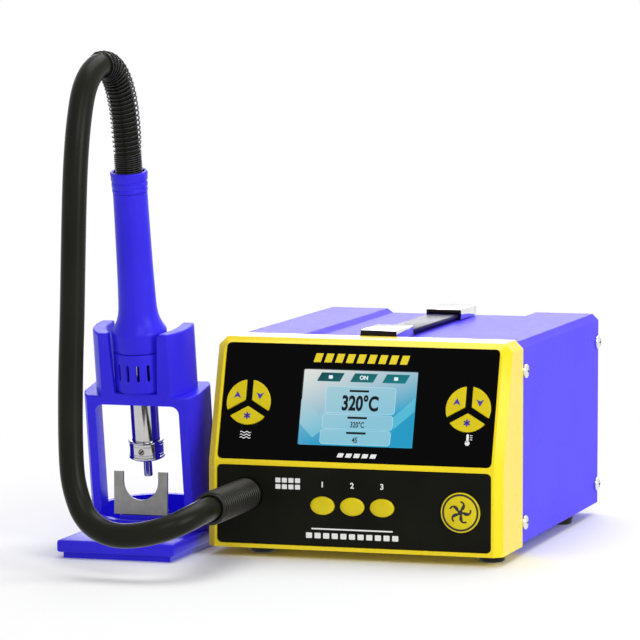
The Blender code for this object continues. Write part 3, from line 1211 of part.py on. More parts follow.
def make_nozzle(axis):
    """The slip-on nozzle with its clamp screw at the front."""
    bore = TUBE_RADIUS + GAP
    rim = NOZZLE_RIM
    bead = NOZZLE_BEAD
    profile = [(bore, NOZZLE_TOP), (NOZZLE_RADIUS, NOZZLE_TOP), (NOZZLE_RADIUS, NOZZLE_TOP - bead),
               (NOZZLE_RADIUS - rim, NOZZLE_TOP - bead - rim), (NOZZLE_RADIUS - rim, NOZZLE_STEP + bead + rim),
               (NOZZLE_RADIUS, NOZZLE_STEP + bead), (NOZZLE_RADIUS, NOZZLE_STEP + rim),
               (NOZZLE_RADIUS - 2 * rim, NOZZLE_STEP), (TIP_RADIUS, NOZZLE_STEP), (TIP_RADIUS, 0),
               (TIP_RADIUS - TIP_WALL, 0), (TIP_RADIUS - TIP_WALL, NOZZLE_STEP + rim),
               (bore, TUBE_FOOT - GAP)]
    nozzle = turned("nozzle", profile, "chrome", axis, steps=24, closed=True)
    side = (math.pi / 2, 0, 0)
    at = (0, 0, CLAMP_HEIGHT)
    hole = rod("clamp_hole", CLAMP_RADIUS + GAP, bore - MM, NOZZLE_RADIUS + MM, None, axis, at, side, 12)
    combine(nozzle, hole)
    seat = NOZZLE_RADIUS - rim + GAP
    radius, height = CLAMP_HEAD
    head = [(0, seat + height), (radius, seat + height), (radius, seat), (CLAMP_RADIUS, seat),
            (CLAMP_RADIUS, bore), (0, bore)]
    turned("clamp_screw", head, "steel", axis, at, side, 16)


def footprint_centre():
    """The middle of the model's footprint, without the hose and its spring."""
    left = STAND_CENTRE - BASE_WIDTH / 2
    right = CASE_WIDTH / 2 + GAP + SCREW_HEAD_HEIGHT
    front = -SLEEVE_LENGTH
    rocker = (ROCKER_PIVOT + ROCKER_STAND_OUT) * math.cos(ROCKER_TILT) - ROCKER_PIVOT
    rocker += ROCKER_SIZE[1] / 2 * math.sin(ROCKER_TILT)
    rear = CASE_REAR + FLANGE_THICKNESS + rocker
    return Vector(((left + right) / 2, (front + rear) / 2, 0))


def main():
    station = empty("station_frame", -footprint_centre())
    lean = empty("leaning_face", (0, 0, FACE_BREAK), (-FACE_LEAN, 0, 0), station)
    axis = empty("handpiece_axis", TIP, (LEAN, 0, 0), station)
    cover, pan, rear = make_case(station)
    bezel = make_bezel(station, lean)
    make_panels(station, lean)
    make_display(lean)
    make_channel_board(station)
    make_feet(station)
    make_side_screws(station, (cover, pan, rear, bezel))
    make_handle(station)
    make_inlet(station)
    make_switch(station)
    make_air_path(station)
    make_electronics(station)
    make_sleeve(station)
    make_hose(station)
    make_stand_base(station)
    make_fork(station)
    make_cradle(station, axis)
    make_handpiece(axis)
    make_nozzle(axis)


main()
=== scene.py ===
"""Looks of the hot-air rework station: finishes, fine shapes, hose, light and camera.

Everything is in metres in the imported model's frame. +X is the console's right, +Y its back.
"""
import json
import math

import bmesh
import bpy
from mathutils import Matrix, Vector


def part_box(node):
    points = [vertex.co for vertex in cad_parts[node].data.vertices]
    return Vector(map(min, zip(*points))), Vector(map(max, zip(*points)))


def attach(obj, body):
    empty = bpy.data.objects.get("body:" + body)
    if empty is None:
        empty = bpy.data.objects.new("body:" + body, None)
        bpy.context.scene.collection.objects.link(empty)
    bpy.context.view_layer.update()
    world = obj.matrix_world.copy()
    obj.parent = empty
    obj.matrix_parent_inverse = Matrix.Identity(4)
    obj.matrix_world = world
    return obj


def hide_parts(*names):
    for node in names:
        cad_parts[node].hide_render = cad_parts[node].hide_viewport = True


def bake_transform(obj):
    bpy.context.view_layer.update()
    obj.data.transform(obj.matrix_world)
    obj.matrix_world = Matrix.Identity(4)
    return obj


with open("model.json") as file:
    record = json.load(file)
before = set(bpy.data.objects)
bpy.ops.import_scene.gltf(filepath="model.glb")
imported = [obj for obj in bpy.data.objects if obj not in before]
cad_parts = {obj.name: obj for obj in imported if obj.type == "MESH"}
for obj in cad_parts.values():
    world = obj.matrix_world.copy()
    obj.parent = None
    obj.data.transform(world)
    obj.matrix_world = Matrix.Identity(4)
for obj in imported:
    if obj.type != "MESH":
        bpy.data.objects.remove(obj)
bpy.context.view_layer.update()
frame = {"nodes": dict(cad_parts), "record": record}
NODES = frame["nodes"]
BODY_OF = {node: body for body, nodes in frame["record"]["behaviour"]["bodies"].items()
           for node in nodes}

MM = 0.001
GAP = 0.3 * MM          # the play between the hose and what it sits in
SHARP = 32              # degrees, over which an edge stays sharp or is rounded
WELD = 0.002 * MM       # corners nearer than this are one
FLAT = math.radians(0.6)


def middle(node):
    """The centre of a CAD node's box."""
    low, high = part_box(node)
    return (Vector(low) + Vector(high)) / 2


# The console's front centre on the table, the leaning panel's foot and the handpiece's axis
BEZEL_LOW, BEZEL_HIGH = (Vector(corner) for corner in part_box("front_bezel"))
STATION = Matrix.Translation(((BEZEL_LOW.x + BEZEL_HIGH.x) / 2, BEZEL_LOW.y, 0))
FACE_BREAK = 60.5 * MM
FACE_LEAN = math.radians(17.1)
LEAN = STATION @ Matrix.Translation((0, 0, FACE_BREAK)) @ Matrix.Rotation(-FACE_LEAN, 4, "X")
TIP = Vector((-140.6, 25.2, 45.1)) * MM
AXIS_LEAN = math.radians(10.3)
AXIS = STATION @ Matrix.Translation(TIP) @ Matrix.Rotation(AXIS_LEAN, 4, "X")
FACING = Matrix.Rotation(math.pi / 2, 4, "X")       # turns a flat XY drawing to face the front
BACKWARD = Matrix.Rotation(-math.pi / 2, 4, "X")    # turns a form about Z to run towards +Y

# The display, on the leaning panel
SCREEN_CENTRE = 34.65 * MM
SCREEN_SIZE = (73.2 * MM, 47.7 * MM)

# Camera, in the console's frame
CAMERA_PLACE = Vector((745.4, -2528.9, 390.4)) * MM
CAMERA_YAW = math.radians(16.856)
CAMERA_PITCH = math.radians(-5.24)
CAMERA_LENS = 244.5     # on a 36 mm wide sensor

# Hose and guard spring
HOSE_RADIUS = 7.5 * MM
SLEEVE_MOUTH = -71.5 * MM
SLEEVE_SOCKET = 14 * MM
HOSE_OUTLET = (-68.3 * MM, 39.2 * MM)
RING_TOP = 192.8 * MM
HOSE_SOCKET = 5 * MM
SPAN_STEPS = 4                  # drawn points in each span of the route
SPRING_SPANS = 5                # how many of the last spans the spring guards
SPRING_WIRE = 1.1 * MM
SPRING_PITCH = 3.0 * MM
CLOSE_PITCH = 1.4 * MM          # of the closer turns at its foot
CLOSE_LENGTH = 14 * MM
SPRING_SLACK = 0.6 * MM         # how far its open turns stand off the hose
SLACK_GROWS = 35 * MM           # the lengths over which that slack comes and goes
SLACK_FADES = 12 * MM
LOOP_MIDDLE = Vector((-146, -50, 262)) * MM
HOSE_ROUTE = [
    (-69, -83, 39), (-72.8, -94.5, 36.5), (-80, -103, 32.8), (-89.3, -107.5, 29.6),
    (-100, -109, 27.2), (-111, -109, 26.2), (-120.5, -108, 27.4), (-129, -106, 30.8),
    (-136, -104, 36.8), (-141, -101.8, 45.5), (-145.3, -99.5, 59), (-147.4, -97, 78),
    (-148.6, -94, 104.5), (-149, -91.5, 130), (-149, -89.3, 154), (-149, -87, 189),
    (-149, -84.5, 223), (-149, -81.5, 247), (-149, -76.5, 268), (-148.9, -68.3, 287),
    (-147.8, -58.7, 298), (-145.7, -47.3, 303.6), (-143.4, -36, 301.8), (-141.6, -26.7, 292.5),
    (-140.7, -19, 276.5), (-140.5, -13.3, 254),
]


# Helpers for materials

def linear(channel):
    """One sRGB channel, 0 to 1, as a linear value."""
    return channel / 12.92 if channel <= 0.04045 else ((channel + 0.055) / 1.055) ** 2.4


def colour(code):
    """An sRGB hex code as a linear colour."""
    return tuple(linear(int(code[i:i + 2], 16) / 255) for i in (1, 3, 5)) + (1.0,)


def add(tree, kind, inputs=None, **settings):
    """One shader node with its settings, and its inputs set or linked."""
    node = tree.nodes.new("ShaderNode" + kind)
    for name, value in settings.items():
        setattr(node, name, value)
    for socket, value in (inputs or {}).items():
        if isinstance(value, bpy.types.NodeSocket):
            tree.links.new(value, node.inputs[socket])
        else:
            node.inputs[socket].default_value = value
    return node


def surface(name, base, roughness, metallic=0.0, **sockets):
    """A Principled material with constant values on its own sockets."""
    made = bpy.data.materials.new(name)
    made.use_nodes = True
    shader = made.node_tree.nodes["Principled BSDF"]
    shader.inputs["Base Color"].default_value = colour(base)
    shader.inputs["Roughness"].default_value = roughness
    shader.inputs["Metallic"].default_value = metallic
    for socket, value in sockets.items():
        shader.inputs[socket.replace("_", " ")].default_value = value
    made.diffuse_color = colour(base)
    return made, made.node_tree, shader


def relief(tree, shader, size, height, detail=2.0, stretch=(1, 1, 1)):
    """A fine uneven relief whose bumps are size across and height deep, both in metres."""
    place = add(tree, "TexCoord")
    mapped = add(tree, "Mapping", {"Vector": place.outputs["Object"], "Scale": stretch})
    noise = add(tree, "TexNoise", {"Vector": mapped.outputs[0], "Scale": 1 / size, "Detail": detail})
    bump = add(tree, "Bump", {"Height": noise.outputs["Fac"], "Distance": height, "Strength": 1.0})
    tree.links.new(bump.outputs[0], shader.inputs["Normal"])


def drift(tree, shader, base, other, size, low=0.35, high=0.65):
    """Slow change between two near colours over patches of a size in metres."""
    place = add(tree, "TexCoord")
    noise = add(tree, "TexNoise", {"Vector": place.outputs["Object"], "Scale": 1 / size, "Detail": 3.0})
    spread = add(tree, "MapRange", {0: noise.outputs["Fac"], 1: low, 2: high})
    mix = add(tree, "Mix", {0: spread.outputs[0], 6: colour(base), 7: colour(other)}, data_type="RGBA")
    tree.links.new(mix.outputs[2], shader.inputs["Base Color"])


def uneven_gloss(tree, shader, size, low, high):
    """Roughness that wanders between two values over patches of a size in metres."""
    place = add(tree, "TexCoord")
    noise = add(tree, "TexNoise", {"Vector": place.outputs["Object"], "Scale": 1 / size, "Detail": 4.0})
    spread = add(tree, "MapRange", {0: noise.outputs["Fac"], 1: 0.3, 2: 0.7, 3: low, 4: high})
    tree.links.new(spread.outputs[0], shader.inputs["Roughness"])


def powder_coat():
    """Powder-coated steel sheet: an even violet-blue skin with fine orange peel."""
    made, tree, shader = surface("powder_coat_violet", "#5747F7", 0.4, Specular_IOR_Level=0.03)
    relief(tree, shader, 0.6 * MM, 0.003 * MM)
    drift(tree, shader, "#5545F6", "#5A4AF9", 70 * MM)
    uneven_gloss(tree, shader, 5 * MM, 0.38, 0.43)
    return made


def yellow_abs():
    """Injection-moulded yellow ABS with a polished tool face: bright, a little wavy."""
    made, tree, shader = surface("moulded_abs_yellow", "#F7DC0A", 0.26, Specular_IOR_Level=0.35)
    relief(tree, shader, 0.5 * MM, 0.0008 * MM)
    drift(tree, shader, "#F6DA08", "#F9DF10", 50 * MM)
    uneven_gloss(tree, shader, 6 * MM, 0.24, 0.28)
    return made


def black_acrylic():
    """Back-painted acrylic sheet: deep black under a glassy skin."""
    made, tree, shader = surface("acrylic_black", "#020203", 0.08, Specular_IOR_Level=0.04)
    relief(tree, shader, 18 * MM, 0.01 * MM, 1.0)
    uneven_gloss(tree, shader, 22 * MM, 0.06, 0.1)
    return made


def black_film():
    """Polycarbonate overlay film with a leathered face: black that scatters a soft light."""
    made, tree, shader = surface("textured_film_black", "#12120B", 0.5, Specular_IOR_Level=0.06)
    relief(tree, shader, 0.6 * MM, 0.05 * MM, 3.0)
    drift(tree, shader, "#0F0F09", "#171710", 30 * MM)
    return made


def yellow_keys():
    """Satin moulded silicone-feel plastic of the keys: a darker, flatter yellow."""
    made, tree, shader = surface("key_plastic_yellow", "#DCC70A", 0.4, Specular_IOR_Level=0.25)
    relief(tree, shader, 0.4 * MM, 0.003 * MM)
    drift(tree, shader, "#D9C307", "#E0CC10", 12 * MM)
    return made


def ink(name, code, roughness=0.5):
    """Screen-printed ink: a flat tone with slightly uneven cover."""
    made, tree, shader = surface(name, code, roughness)
    relief(tree, shader, 0.35 * MM, 0.006 * MM)
    uneven_gloss(tree, shader, 3 * MM, roughness - 0.06, roughness + 0.06)
    return made


def indigo_abs():
    """Injection-moulded indigo ABS with a fine spark texture, as on the stand and handpiece."""
    made, tree, shader = surface("moulded_abs_indigo", "#3529E8", 0.34, Specular_IOR_Level=0.15)
    relief(tree, shader, 0.45 * MM, 0.005 * MM, 3.0)
    drift(tree, shader, "#3327E5", "#382CEC", 45 * MM)
    uneven_gloss(tree, shader, 7 * MM, 0.31, 0.38)
    return made


def hose_rubber():
    """Smooth extruded silicone rubber: near black with a broad soft highlight."""
    made, tree, shader = surface("extruded_rubber_black", "#181910", 0.3, Specular_IOR_Level=0.1)
    relief(tree, shader, 0.9 * MM, 0.008 * MM, 3.0)
    drift(tree, shader, "#16170F", "#1B1C13", 40 * MM)
    uneven_gloss(tree, shader, 12 * MM, 0.28, 0.34)
    return made


def moulded_rubber():
    """Moulded nitrile rubber: matt, faintly dusty."""
    made, tree, shader = surface("moulded_rubber", "#12110C", 0.55, Specular_IOR_Level=0.2)
    relief(tree, shader, 0.5 * MM, 0.02 * MM, 4.0)
    drift(tree, shader, "#100F0B", "#171610", 8 * MM)
    return made


def sleeve_rubber():
    """Moulded sleeve of the hose: black rubber whose ribs each catch a line of light."""
    made, tree, shader = surface("sleeve_rubber_black", "#14140E", 0.34, Specular_IOR_Level=0.3)
    relief(tree, shader, 0.6 * MM, 0.01 * MM, 3.0)
    drift(tree, shader, "#11110B", "#191912", 8 * MM)
    return made


def enamelled_wire():
    """Black-enamelled spring wire: tight small highlights on each turn."""
    made, tree, shader = surface("enamelled_spring_wire", "#11110D", 0.28, Specular_IOR_Level=0.3)
    relief(tree, shader, 0.5 * MM, 0.01 * MM)
    drift(tree, shader, "#10100F", "#1B1B17", 5 * MM)
    return made


def chrome():
    """Chrome plate: clear mirror of what stands round it."""
    made, tree, shader = surface("chrome_plate", "#E4E4E8", 0.06, 1.0)
    relief(tree, shader, 6 * MM, 0.004 * MM, 1.0)
    uneven_gloss(tree, shader, 8 * MM, 0.04, 0.09)
    return made


def polished_tube():
    """Drawn and polished stainless tube: fine lines along its length, a little heat tint."""
    made, tree, shader = surface("polished_stainless", "#BDBDC2", 0.1, 1.0)
    relief(tree, shader, 0.4 * MM, 0.003 * MM, 2.0, (1, 1, 0.05))
    drift(tree, shader, "#B9B9C0", "#C8C5C0", 14 * MM)
    uneven_gloss(tree, shader, 3 * MM, 0.08, 0.14)
    return made


def brushed_plate():
    """Laser-cut and brushed stainless plate: grey with a short grain across it."""
    made, tree, shader = surface("brushed_stainless", "#8C8C86", 0.42, 1.0)
    relief(tree, shader, 0.9 * MM, 0.02 * MM, 3.0, (0.12, 1, 1))
    drift(tree, shader, "#868680", "#93938D", 9 * MM)
    uneven_gloss(tree, shader, 2 * MM, 0.38, 0.48)
    return made


def smoked_chrome():
    """Painted dark reflection on the chrome handle caps' front faces, and painted shade in the screws'
    recesses: a near-black mirror with a brown tone.
    """
    made, tree, shader = surface("chrome_painted_shade_and_reflection", "#1A1210", 0.12, 0.6, Specular_IOR_Level=0.3)
    relief(tree, shader, 5 * MM, 0.003 * MM, 1.0)
    uneven_gloss(tree, shader, 7 * MM, 0.08, 0.16)
    return made


def strap_leatherette():
    """Black vinyl of the handle strap, its colour tinted violet as a painted reflection of the case: a
    smooth sheen with a fine pebble.
    """
    # the violet in this black is a painted reflection of the case
    made, tree, shader = surface("strap_vinyl_painted_reflection", "#181240", 0.3, Specular_IOR_Level=0.04)
    relief(tree, shader, 0.7 * MM, 0.012 * MM, 3.0)
    uneven_gloss(tree, shader, 5 * MM, 0.26, 0.34)
    return made


def zinc():
    """Bright zinc plate on pressed steel, lightly spangled."""
    made, tree, shader = surface("zinc_plated_steel", "#B9BCC0", 0.3, 1.0)
    drift(tree, shader, "#AEB1B5", "#C4C7CB", 6 * MM)
    uneven_gloss(tree, shader, 4 * MM, 0.24, 0.4)
    return made


def black_abs():
    """Moulded black plastic of inlet and switch: satin with a fine grain."""
    made, tree, shader = surface("moulded_plastic_black", "#0E0E10", 0.42, Specular_IOR_Level=0.25)
    relief(tree, shader, 0.4 * MM, 0.015 * MM, 3.0)
    drift(tree, shader, "#0F0F11", "#17171A", 9 * MM)
    return made


def circuit_board():
    """Glass-fibre board under green solder mask, with darker tracks."""
    made, tree, shader = surface("solder_mask_green", "#17603A", 0.35, IOR=1.55)
    place = add(tree, "TexCoord")
    cells = add(tree, "TexVoronoi", {"Vector": place.outputs["Object"], "Scale": 1 / (4 * MM)},
                distance="MANHATTAN")
    tracks = add(tree, "MapRange", {0: cells.outputs["Distance"], 1: 0.25, 2: 0.3})
    mix = add(tree, "Mix", {0: tracks.outputs[0], 6: colour("#1F7A4A"), 7: colour("#145534")},
              data_type="RGBA")
    tree.links.new(mix.outputs[2], shader.inputs["Base Color"])
    return made


def ceramic():
    """Fired cordierite: chalky off-white."""
    made, tree, shader = surface("fired_ceramic", "#E8E0CF", 0.8)
    relief(tree, shader, 0.4 * MM, 0.03 * MM, 4.0)
    drift(tree, shader, "#E4DBC8", "#EFE8DA", 5 * MM)
    return made


def lit_screen(name, top_left, bottom_right):
    """Backlit display picture: a slope of colour from the upper left to the lower right."""
    made, tree, shader = surface(name, "#050607", 0.08, Specular_IOR_Level=0.1)
    centre = LEAN @ Vector((0, 0, SCREEN_CENTRE))
    place = add(tree, "TexCoord")
    local = add(tree, "Mapping", {"Vector": place.outputs["Object"], "Scale": (0.5, 1, 1.2),
                                  "Location": (-0.5 * centre.x, 0, -1.2 * centre.z)})
    axes = add(tree, "SeparateXYZ", {0: local.outputs[0]})
    falling = add(tree, "Math", {0: axes.outputs["X"], 1: axes.outputs["Z"]}, operation="SUBTRACT")
    slope = add(tree, "MapRange", {0: falling.outputs[0], 1: -42 * MM, 2: 16 * MM})
    mix = add(tree, "Mix", {0: slope.outputs[0], 6: colour(top_left), 7: colour(bottom_right)},
              data_type="RGBA")
    tree.links.new(mix.outputs[2], shader.inputs["Emission Color"])
    shader.inputs["Emission Strength"].default_value = 1.0
    return made


LOOKS = {
    "case": powder_coat(), "bezel": yellow_abs(), "acrylic": black_acrylic(), "film": black_film(),
    "key": yellow_keys(), "indigo": indigo_abs(), "hose": hose_rubber(), "rubber": moulded_rubber(),
    "wire": enamelled_wire(), "chrome": chrome(), "tube": polished_tube(), "plate": brushed_plate(),
    "zinc": zinc(), "black": black_abs(), "board": circuit_board(), "ceramic": ceramic(),
    "white_ink": ink("screen_ink_white", "#F2F2F0"), "yellow_ink": ink("screen_ink_yellow", "#EBD31A"),
    "indigo_ink": ink("screen_ink_indigo", "#33279C"), "black_ink": ink("screen_ink_black", "#0B0B0A"),
    "screen": lit_screen("screen_picture", "#DDDFD9", "#2AA2C8"),
    "screen_box": lit_screen("screen_box", "#ABCCD6", "#86C2D6"),
    "screen_edge": lit_screen("screen_box_edge", "#CDE2E6", "#ADDCEA"),
    "screen_shard": lit_screen("screen_shard", "#D0D8D6", "#55B8D4"),
    "screen_deep": lit_screen("screen_deep_shard", "#9ACBD8", "#2098C4"),
    "screen_tab": lit_screen("screen_tab", "#063842", "#179098"),
    "screen_ink": lit_screen("screen_figures", "#0C1416", "#0C1416"),
    "screen_light": lit_screen("screen_tab_figures", "#E8F6F8", "#E8F6F8"),
    "sleeve": sleeve_rubber(), "painted_shade_and_reflection": smoked_chrome(), "strap": strap_leatherette(),
}


# Helpers for shapes

def shade(bm, sharp=SHARP):
    """Smooth faces, with edges over an angle in degrees kept sharp."""
    for face in bm.faces:
        face.smooth = True
    for edge in bm.edges:
        if len(edge.link_faces) == 2:
            edge.smooth = edge.calc_face_angle(0) < math.radians(sharp)


def piece(name, bm, look, body=None, place=None, stands_for=(), sharp=SHARP):
    """A finished piece from a bmesh: placed, shaded, painted and riding on its body."""
    if place is not None:
        bm.transform(place)
    shade(bm, sharp)
    mesh = bpy.data.meshes.new(name)
    bm.to_mesh(mesh)
    bm.free()
    mesh.materials.append(LOOKS[look])
    made = bpy.data.objects.new(name, mesh)
    bpy.context.scene.collection.objects.link(made)
    if body:
        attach(made, body)
    if stands_for:
        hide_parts(*stands_for)
    return made


def round_edges(made, width, segments=3):
    """A Bevel modifier on the piece's sharper edges."""
    bevel = made.modifiers.new("edges", "BEVEL")
    bevel.width = width
    bevel.segments = segments
    bevel.limit_method = "ANGLE"
    bevel.angle_limit = math.radians(SHARP)
    bevel.harden_normals = True
    bevel.use_clamp_overlap = True
    return made


def dressed(node, look, edge=0.35 * MM, segments=2):
    """A CAD node's form with its faces joined up and its edges rounded, in place of the node."""
    bm = bmesh.new()
    bm.from_mesh(NODES[node].data)
    bmesh.ops.remove_doubles(bm, verts=bm.verts, dist=WELD)
    bmesh.ops.dissolve_limit(bm, angle_limit=FLAT, verts=bm.verts, edges=bm.edges)
    made = piece(node + "_skin", bm, look, BODY_OF[node], stands_for=(node,))
    return round_edges(made, edge, segments) if edge else made


def softened(made, levels, width):
    """Rounds a piece's outer edges at the given heights along the handpiece's axis."""
    bm = bmesh.new()
    bm.from_mesh(made.data)
    weight = bm.edges.layers.float.new("bevel_weight_edge")
    near_enough = 0.2 * MM
    for edge in bm.edges:
        heights = [(AXIS.inverted() @ vert.co).z for vert in edge.verts]
        near = any(max(abs(z - level) for z in heights) < near_enough for level in levels)
        if near and edge.is_convex and edge.calc_face_angle(0) > math.radians(SHARP):
            edge[weight] = 1.0
    bm.to_mesh(made.data)
    bm.free()
    bevel = round_edges(made, width).modifiers["edges"]
    bevel.limit_method = "WEIGHT"
    bevel.use_clamp_overlap = False


def turned(profile, steps=96, closed=False):
    """A bmesh of a profile of (radius, height) spun about Z."""
    bm = bmesh.new()
    verts = [bm.verts.new((radius, 0, height)) for radius, height in profile]
    edges = [bm.edges.new(pair) for pair in zip(verts, verts[1:])]
    if closed:
        edges.append(bm.edges.new((verts[-1], verts[0])))
    bmesh.ops.spin(bm, geom=verts + edges, cent=(0, 0, 0), axis=(0, 0, 1), angle=2 * math.pi,
                   steps=steps, use_merge=True)
    bmesh.ops.remove_doubles(bm, verts=bm.verts, dist=1e-7)
    bmesh.ops.recalc_face_normals(bm, faces=bm.faces)
    return bm


def filleted(points, radius, count=4):
    """A run of profile points with its inner corners rounded as far as their sides allow."""
    share = 0.45        # of a side, at most, that one of its corners takes
    run = [Vector(p) for p in points]
    out = [run[0]]
    for before, corner, after in zip(run, run[1:], run[2:]):
        reach = min(radius, (before - corner).length * share, (after - corner).length * share)
        start = corner + (before - corner).normalized() * reach
        end = corner + (after - corner).normalized() * reach
        for i in range(count + 1):
            t = i / count
            out.append(start * (1 - t) ** 2 + corner * 2 * t * (1 - t) + end * t ** 2)
    out.append(run[-1])
    return [tuple(p) for p in out]


def plate(outline, thickness):
    """A bmesh of a flat outline in XY, thickened downwards from Z = 0."""
    bm = bmesh.new()
    face = bm.faces.new([bm.verts.new((x, y, 0)) for x, y in outline])
    grown = bmesh.ops.extrude_face_region(bm, geom=[face])
    bmesh.ops.translate(bm, vec=(0, 0, -thickness),
                        verts=[v for v in grown["geom"] if isinstance(v, bmesh.types.BMVert)])
    bmesh.ops.recalc_face_normals(bm, faces=bm.faces)
    return bm


def arc(centre, radius, start, end, count):
    """Points on an arc, both ends included, with angles in degrees."""
    angles = [math.radians(start + (end - start) * i / count) for i in range(count + 1)]
    return [(centre[0] + radius * math.cos(a), centre[1] + radius * math.sin(a)) for a in angles]


def rounded_box(centre, size, radius, count=5):
    """The outline of a rectangle with round corners."""
    (x, y), (width, height) = centre, size
    points = []
    for sx, sy, turn in ((1, 1, 0), (-1, 1, 90), (-1, -1, 180), (1, -1, 270)):
        inside = (x + sx * (width / 2 - radius), y + sy * (height / 2 - radius))
        points += arc(inside, radius, turn, turn + 90, count)
    return points


def slanted_box(centre, size, slant=0.3):
    """A leaning bar: a rectangle whose top is shifted to the right."""
    (x, y), (width, height) = centre, size
    shift = height * slant / 2
    return [(x - width / 2 - shift, y - height / 2), (x + width / 2 - shift, y - height / 2),
            (x + width / 2 + shift, y + height / 2), (x - width / 2 + shift, y + height / 2)]


def ring(centre, outer, inner, thickness, count=64):
    """A bmesh of a flat ring in XY, thickened downwards from Z = 0."""
    bm = turned([(inner, 0), (outer, 0), (outer, -thickness), (inner, -thickness)], count, closed=True)
    bmesh.ops.translate(bm, vec=(*centre, 0), verts=bm.verts)
    return bm


def merged(parts):
    """One bmesh that holds several, which are freed."""
    whole = bmesh.new()
    for part in parts:
        mesh = bpy.data.meshes.new("part")
        part.to_mesh(mesh)
        part.free()
        whole.from_mesh(mesh)
        bpy.data.meshes.remove(mesh)
    return whole


def numerals(words, height, thickness, weight=0.0):
    """A bmesh of plain figures, centred on the origin in XY, with a cap height in metres."""
    curve = bpy.data.curves.new("figures", "FONT")
    curve.body = words
    curve.align_x = "CENTER"
    curve.align_y = "CENTER"
    curve.size = height / 0.7       # the built-in font's capitals are 0.7 of its size
    curve.extrude = thickness / 2
    curve.offset = weight
    curve.resolution_u = 6
    drawn = bpy.data.objects.new("figures", curve)
    bpy.context.scene.collection.objects.link(drawn)
    return mesh_of(drawn)


def mesh_of(drawn):
    """The bmesh of a drawn curve or text, whose object is removed."""
    graph = bpy.context.evaluated_depsgraph_get()
    graph.update()
    mesh = bpy.data.meshes.new_from_object(drawn.evaluated_get(graph))
    bpy.data.objects.remove(drawn, do_unlink=True)
    bm = bmesh.new()
    bm.from_mesh(mesh)
    bpy.data.meshes.remove(mesh)
    bmesh.ops.remove_doubles(bm, verts=bm.verts, dist=1e-7)
    bmesh.ops.recalc_face_normals(bm, faces=bm.faces)
    return bm


def on_face(frame_matrix, depth):
    """Turns a drawing in XY onto a panel, its top face at a depth behind the panel's front."""
    return frame_matrix @ Matrix.Translation((0, depth, 0)) @ FACING


def cut(made, form, look):
    """Takes a form, a bmesh in the model's frame, out of a piece, whose cut faces get a look."""
    mesh = bpy.data.meshes.new("cutter")
    form.to_mesh(mesh)
    form.free()
    mesh.materials.append(LOOKS[look])
    cutter = bpy.data.objects.new("cutter", mesh)
    bpy.context.scene.collection.objects.link(cutter)
    taken = made.modifiers.new("cut", "BOOLEAN")
    taken.object = cutter
    taken.operation = "DIFFERENCE"
    taken.solver = "EXACT"
    taken.material_mode = "TRANSFER"
    bake_modifiers(made)
    bpy.data.objects.remove(cutter, do_unlink=True)
    bpy.data.meshes.remove(mesh)


def bake_modifiers(made):
    """Gives a piece the mesh that its modifiers make, and takes them off."""
    graph = bpy.context.evaluated_depsgraph_get()
    graph.update()
    mesh = bpy.data.meshes.new_from_object(made.evaluated_get(graph))
    made.modifiers.clear()
    old = made.data
    made.data = mesh
    bpy.data.meshes.remove(old)
    bm = bmesh.new()
    bm.from_mesh(mesh)
    bmesh.ops.remove_doubles(bm, verts=bm.verts, dist=1e-6)
    shade(bm)
    bm.to_mesh(mesh)
    bm.free()


# Hose and its spring

def smooth(points, per_span):
    """Points on a smooth curve through the given ones."""
    padded = [points[0] * 2 - points[1]] + points + [points[-1] * 2 - points[-2]]
    line = []
    for a, b, c, d in zip(padded, padded[1:], padded[2:], padded[3:]):
        for step in range(per_span):
            t = step / per_span
            line.append(0.5 * (2 * b + (c - a) * t + (2 * a - 5 * b + 4 * c - d) * t ** 2
                               + (3 * b - a - 3 * c + d) * t ** 3))
    return line + [points[-1]]


def hose_points():
    """The hose's own points in the model's frame: sleeve, route, handpiece's end ring."""
    x, z = HOSE_OUTLET
    run = [Vector((x, SLEEVE_MOUTH + SLEEVE_SOCKET - GAP, z)), Vector((x, SLEEVE_MOUTH, z))]
    run += [Vector(point) * MM for point in HOSE_ROUTE]
    run = [STATION @ point for point in run]
    ends = (RING_TOP + GAP, RING_TOP - HOSE_SOCKET + GAP)
    return run + [AXIS @ Vector((0, 0, height)) for height in ends]


def curve_piece(name, line, radius, look, resolution):
    """A round wire or tube with closed ends along a line, as a mesh."""
    curve = bpy.data.curves.new(name, "CURVE")
    curve.dimensions = "3D"
    curve.bevel_depth = radius
    curve.bevel_resolution = resolution
    curve.use_fill_caps = True
    spline = curve.splines.new("POLY")
    spline.points.add(len(line) - 1)
    for point, place in zip(spline.points, line):
        point.co = (*place, 1)
    drawn = bpy.data.objects.new(name, curve)
    bpy.context.scene.collection.objects.link(drawn)
    return piece(name, mesh_of(drawn), look, sharp=60)


def coil_round(line, radius, per_turn=14):
    """Points of a guard spring's helix round a line, its turns closer over the last stretch."""
    lengths = [0.0]
    for a, b in zip(line, line[1:]):
        lengths.append(lengths[-1] + (b - a).length)
    open_length = lengths[-1] - CLOSE_LENGTH
    open_turns = open_length / SPRING_PITCH
    turns = open_turns + CLOSE_LENGTH / CLOSE_PITCH
    side = (line[1] - line[0]).normalized().cross(Vector((1, 0, 0))).normalized()
    points, span = [], 0
    for i in range(int(turns * per_turn) + 1):
        turned_by = i / per_turn
        along = turned_by * SPRING_PITCH
        if turned_by > open_turns:
            along = open_length + (turned_by - open_turns) * CLOSE_PITCH
        while span < len(line) - 2 and lengths[span + 1] < along:
            span += 1
        t = (along - lengths[span]) / (lengths[span + 1] - lengths[span])
        ahead = (line[span + 1] - line[span]).normalized()
        side = (side - ahead * side.dot(ahead)).normalized()
        angle = 2 * math.pi * i / per_turn
        out = side * math.cos(angle) + ahead.cross(side) * math.sin(angle)
        centre = line[span].lerp(line[span + 1], t)
        slack = SPRING_SLACK * min(1.0, along / SLACK_GROWS,
                                   max(0.0, (open_length - along) / SLACK_FADES))
        outward = (centre - STATION @ LOOP_MIDDLE).normalized()
        points.append(centre + outward * slack + out * (radius + slack))
    return points


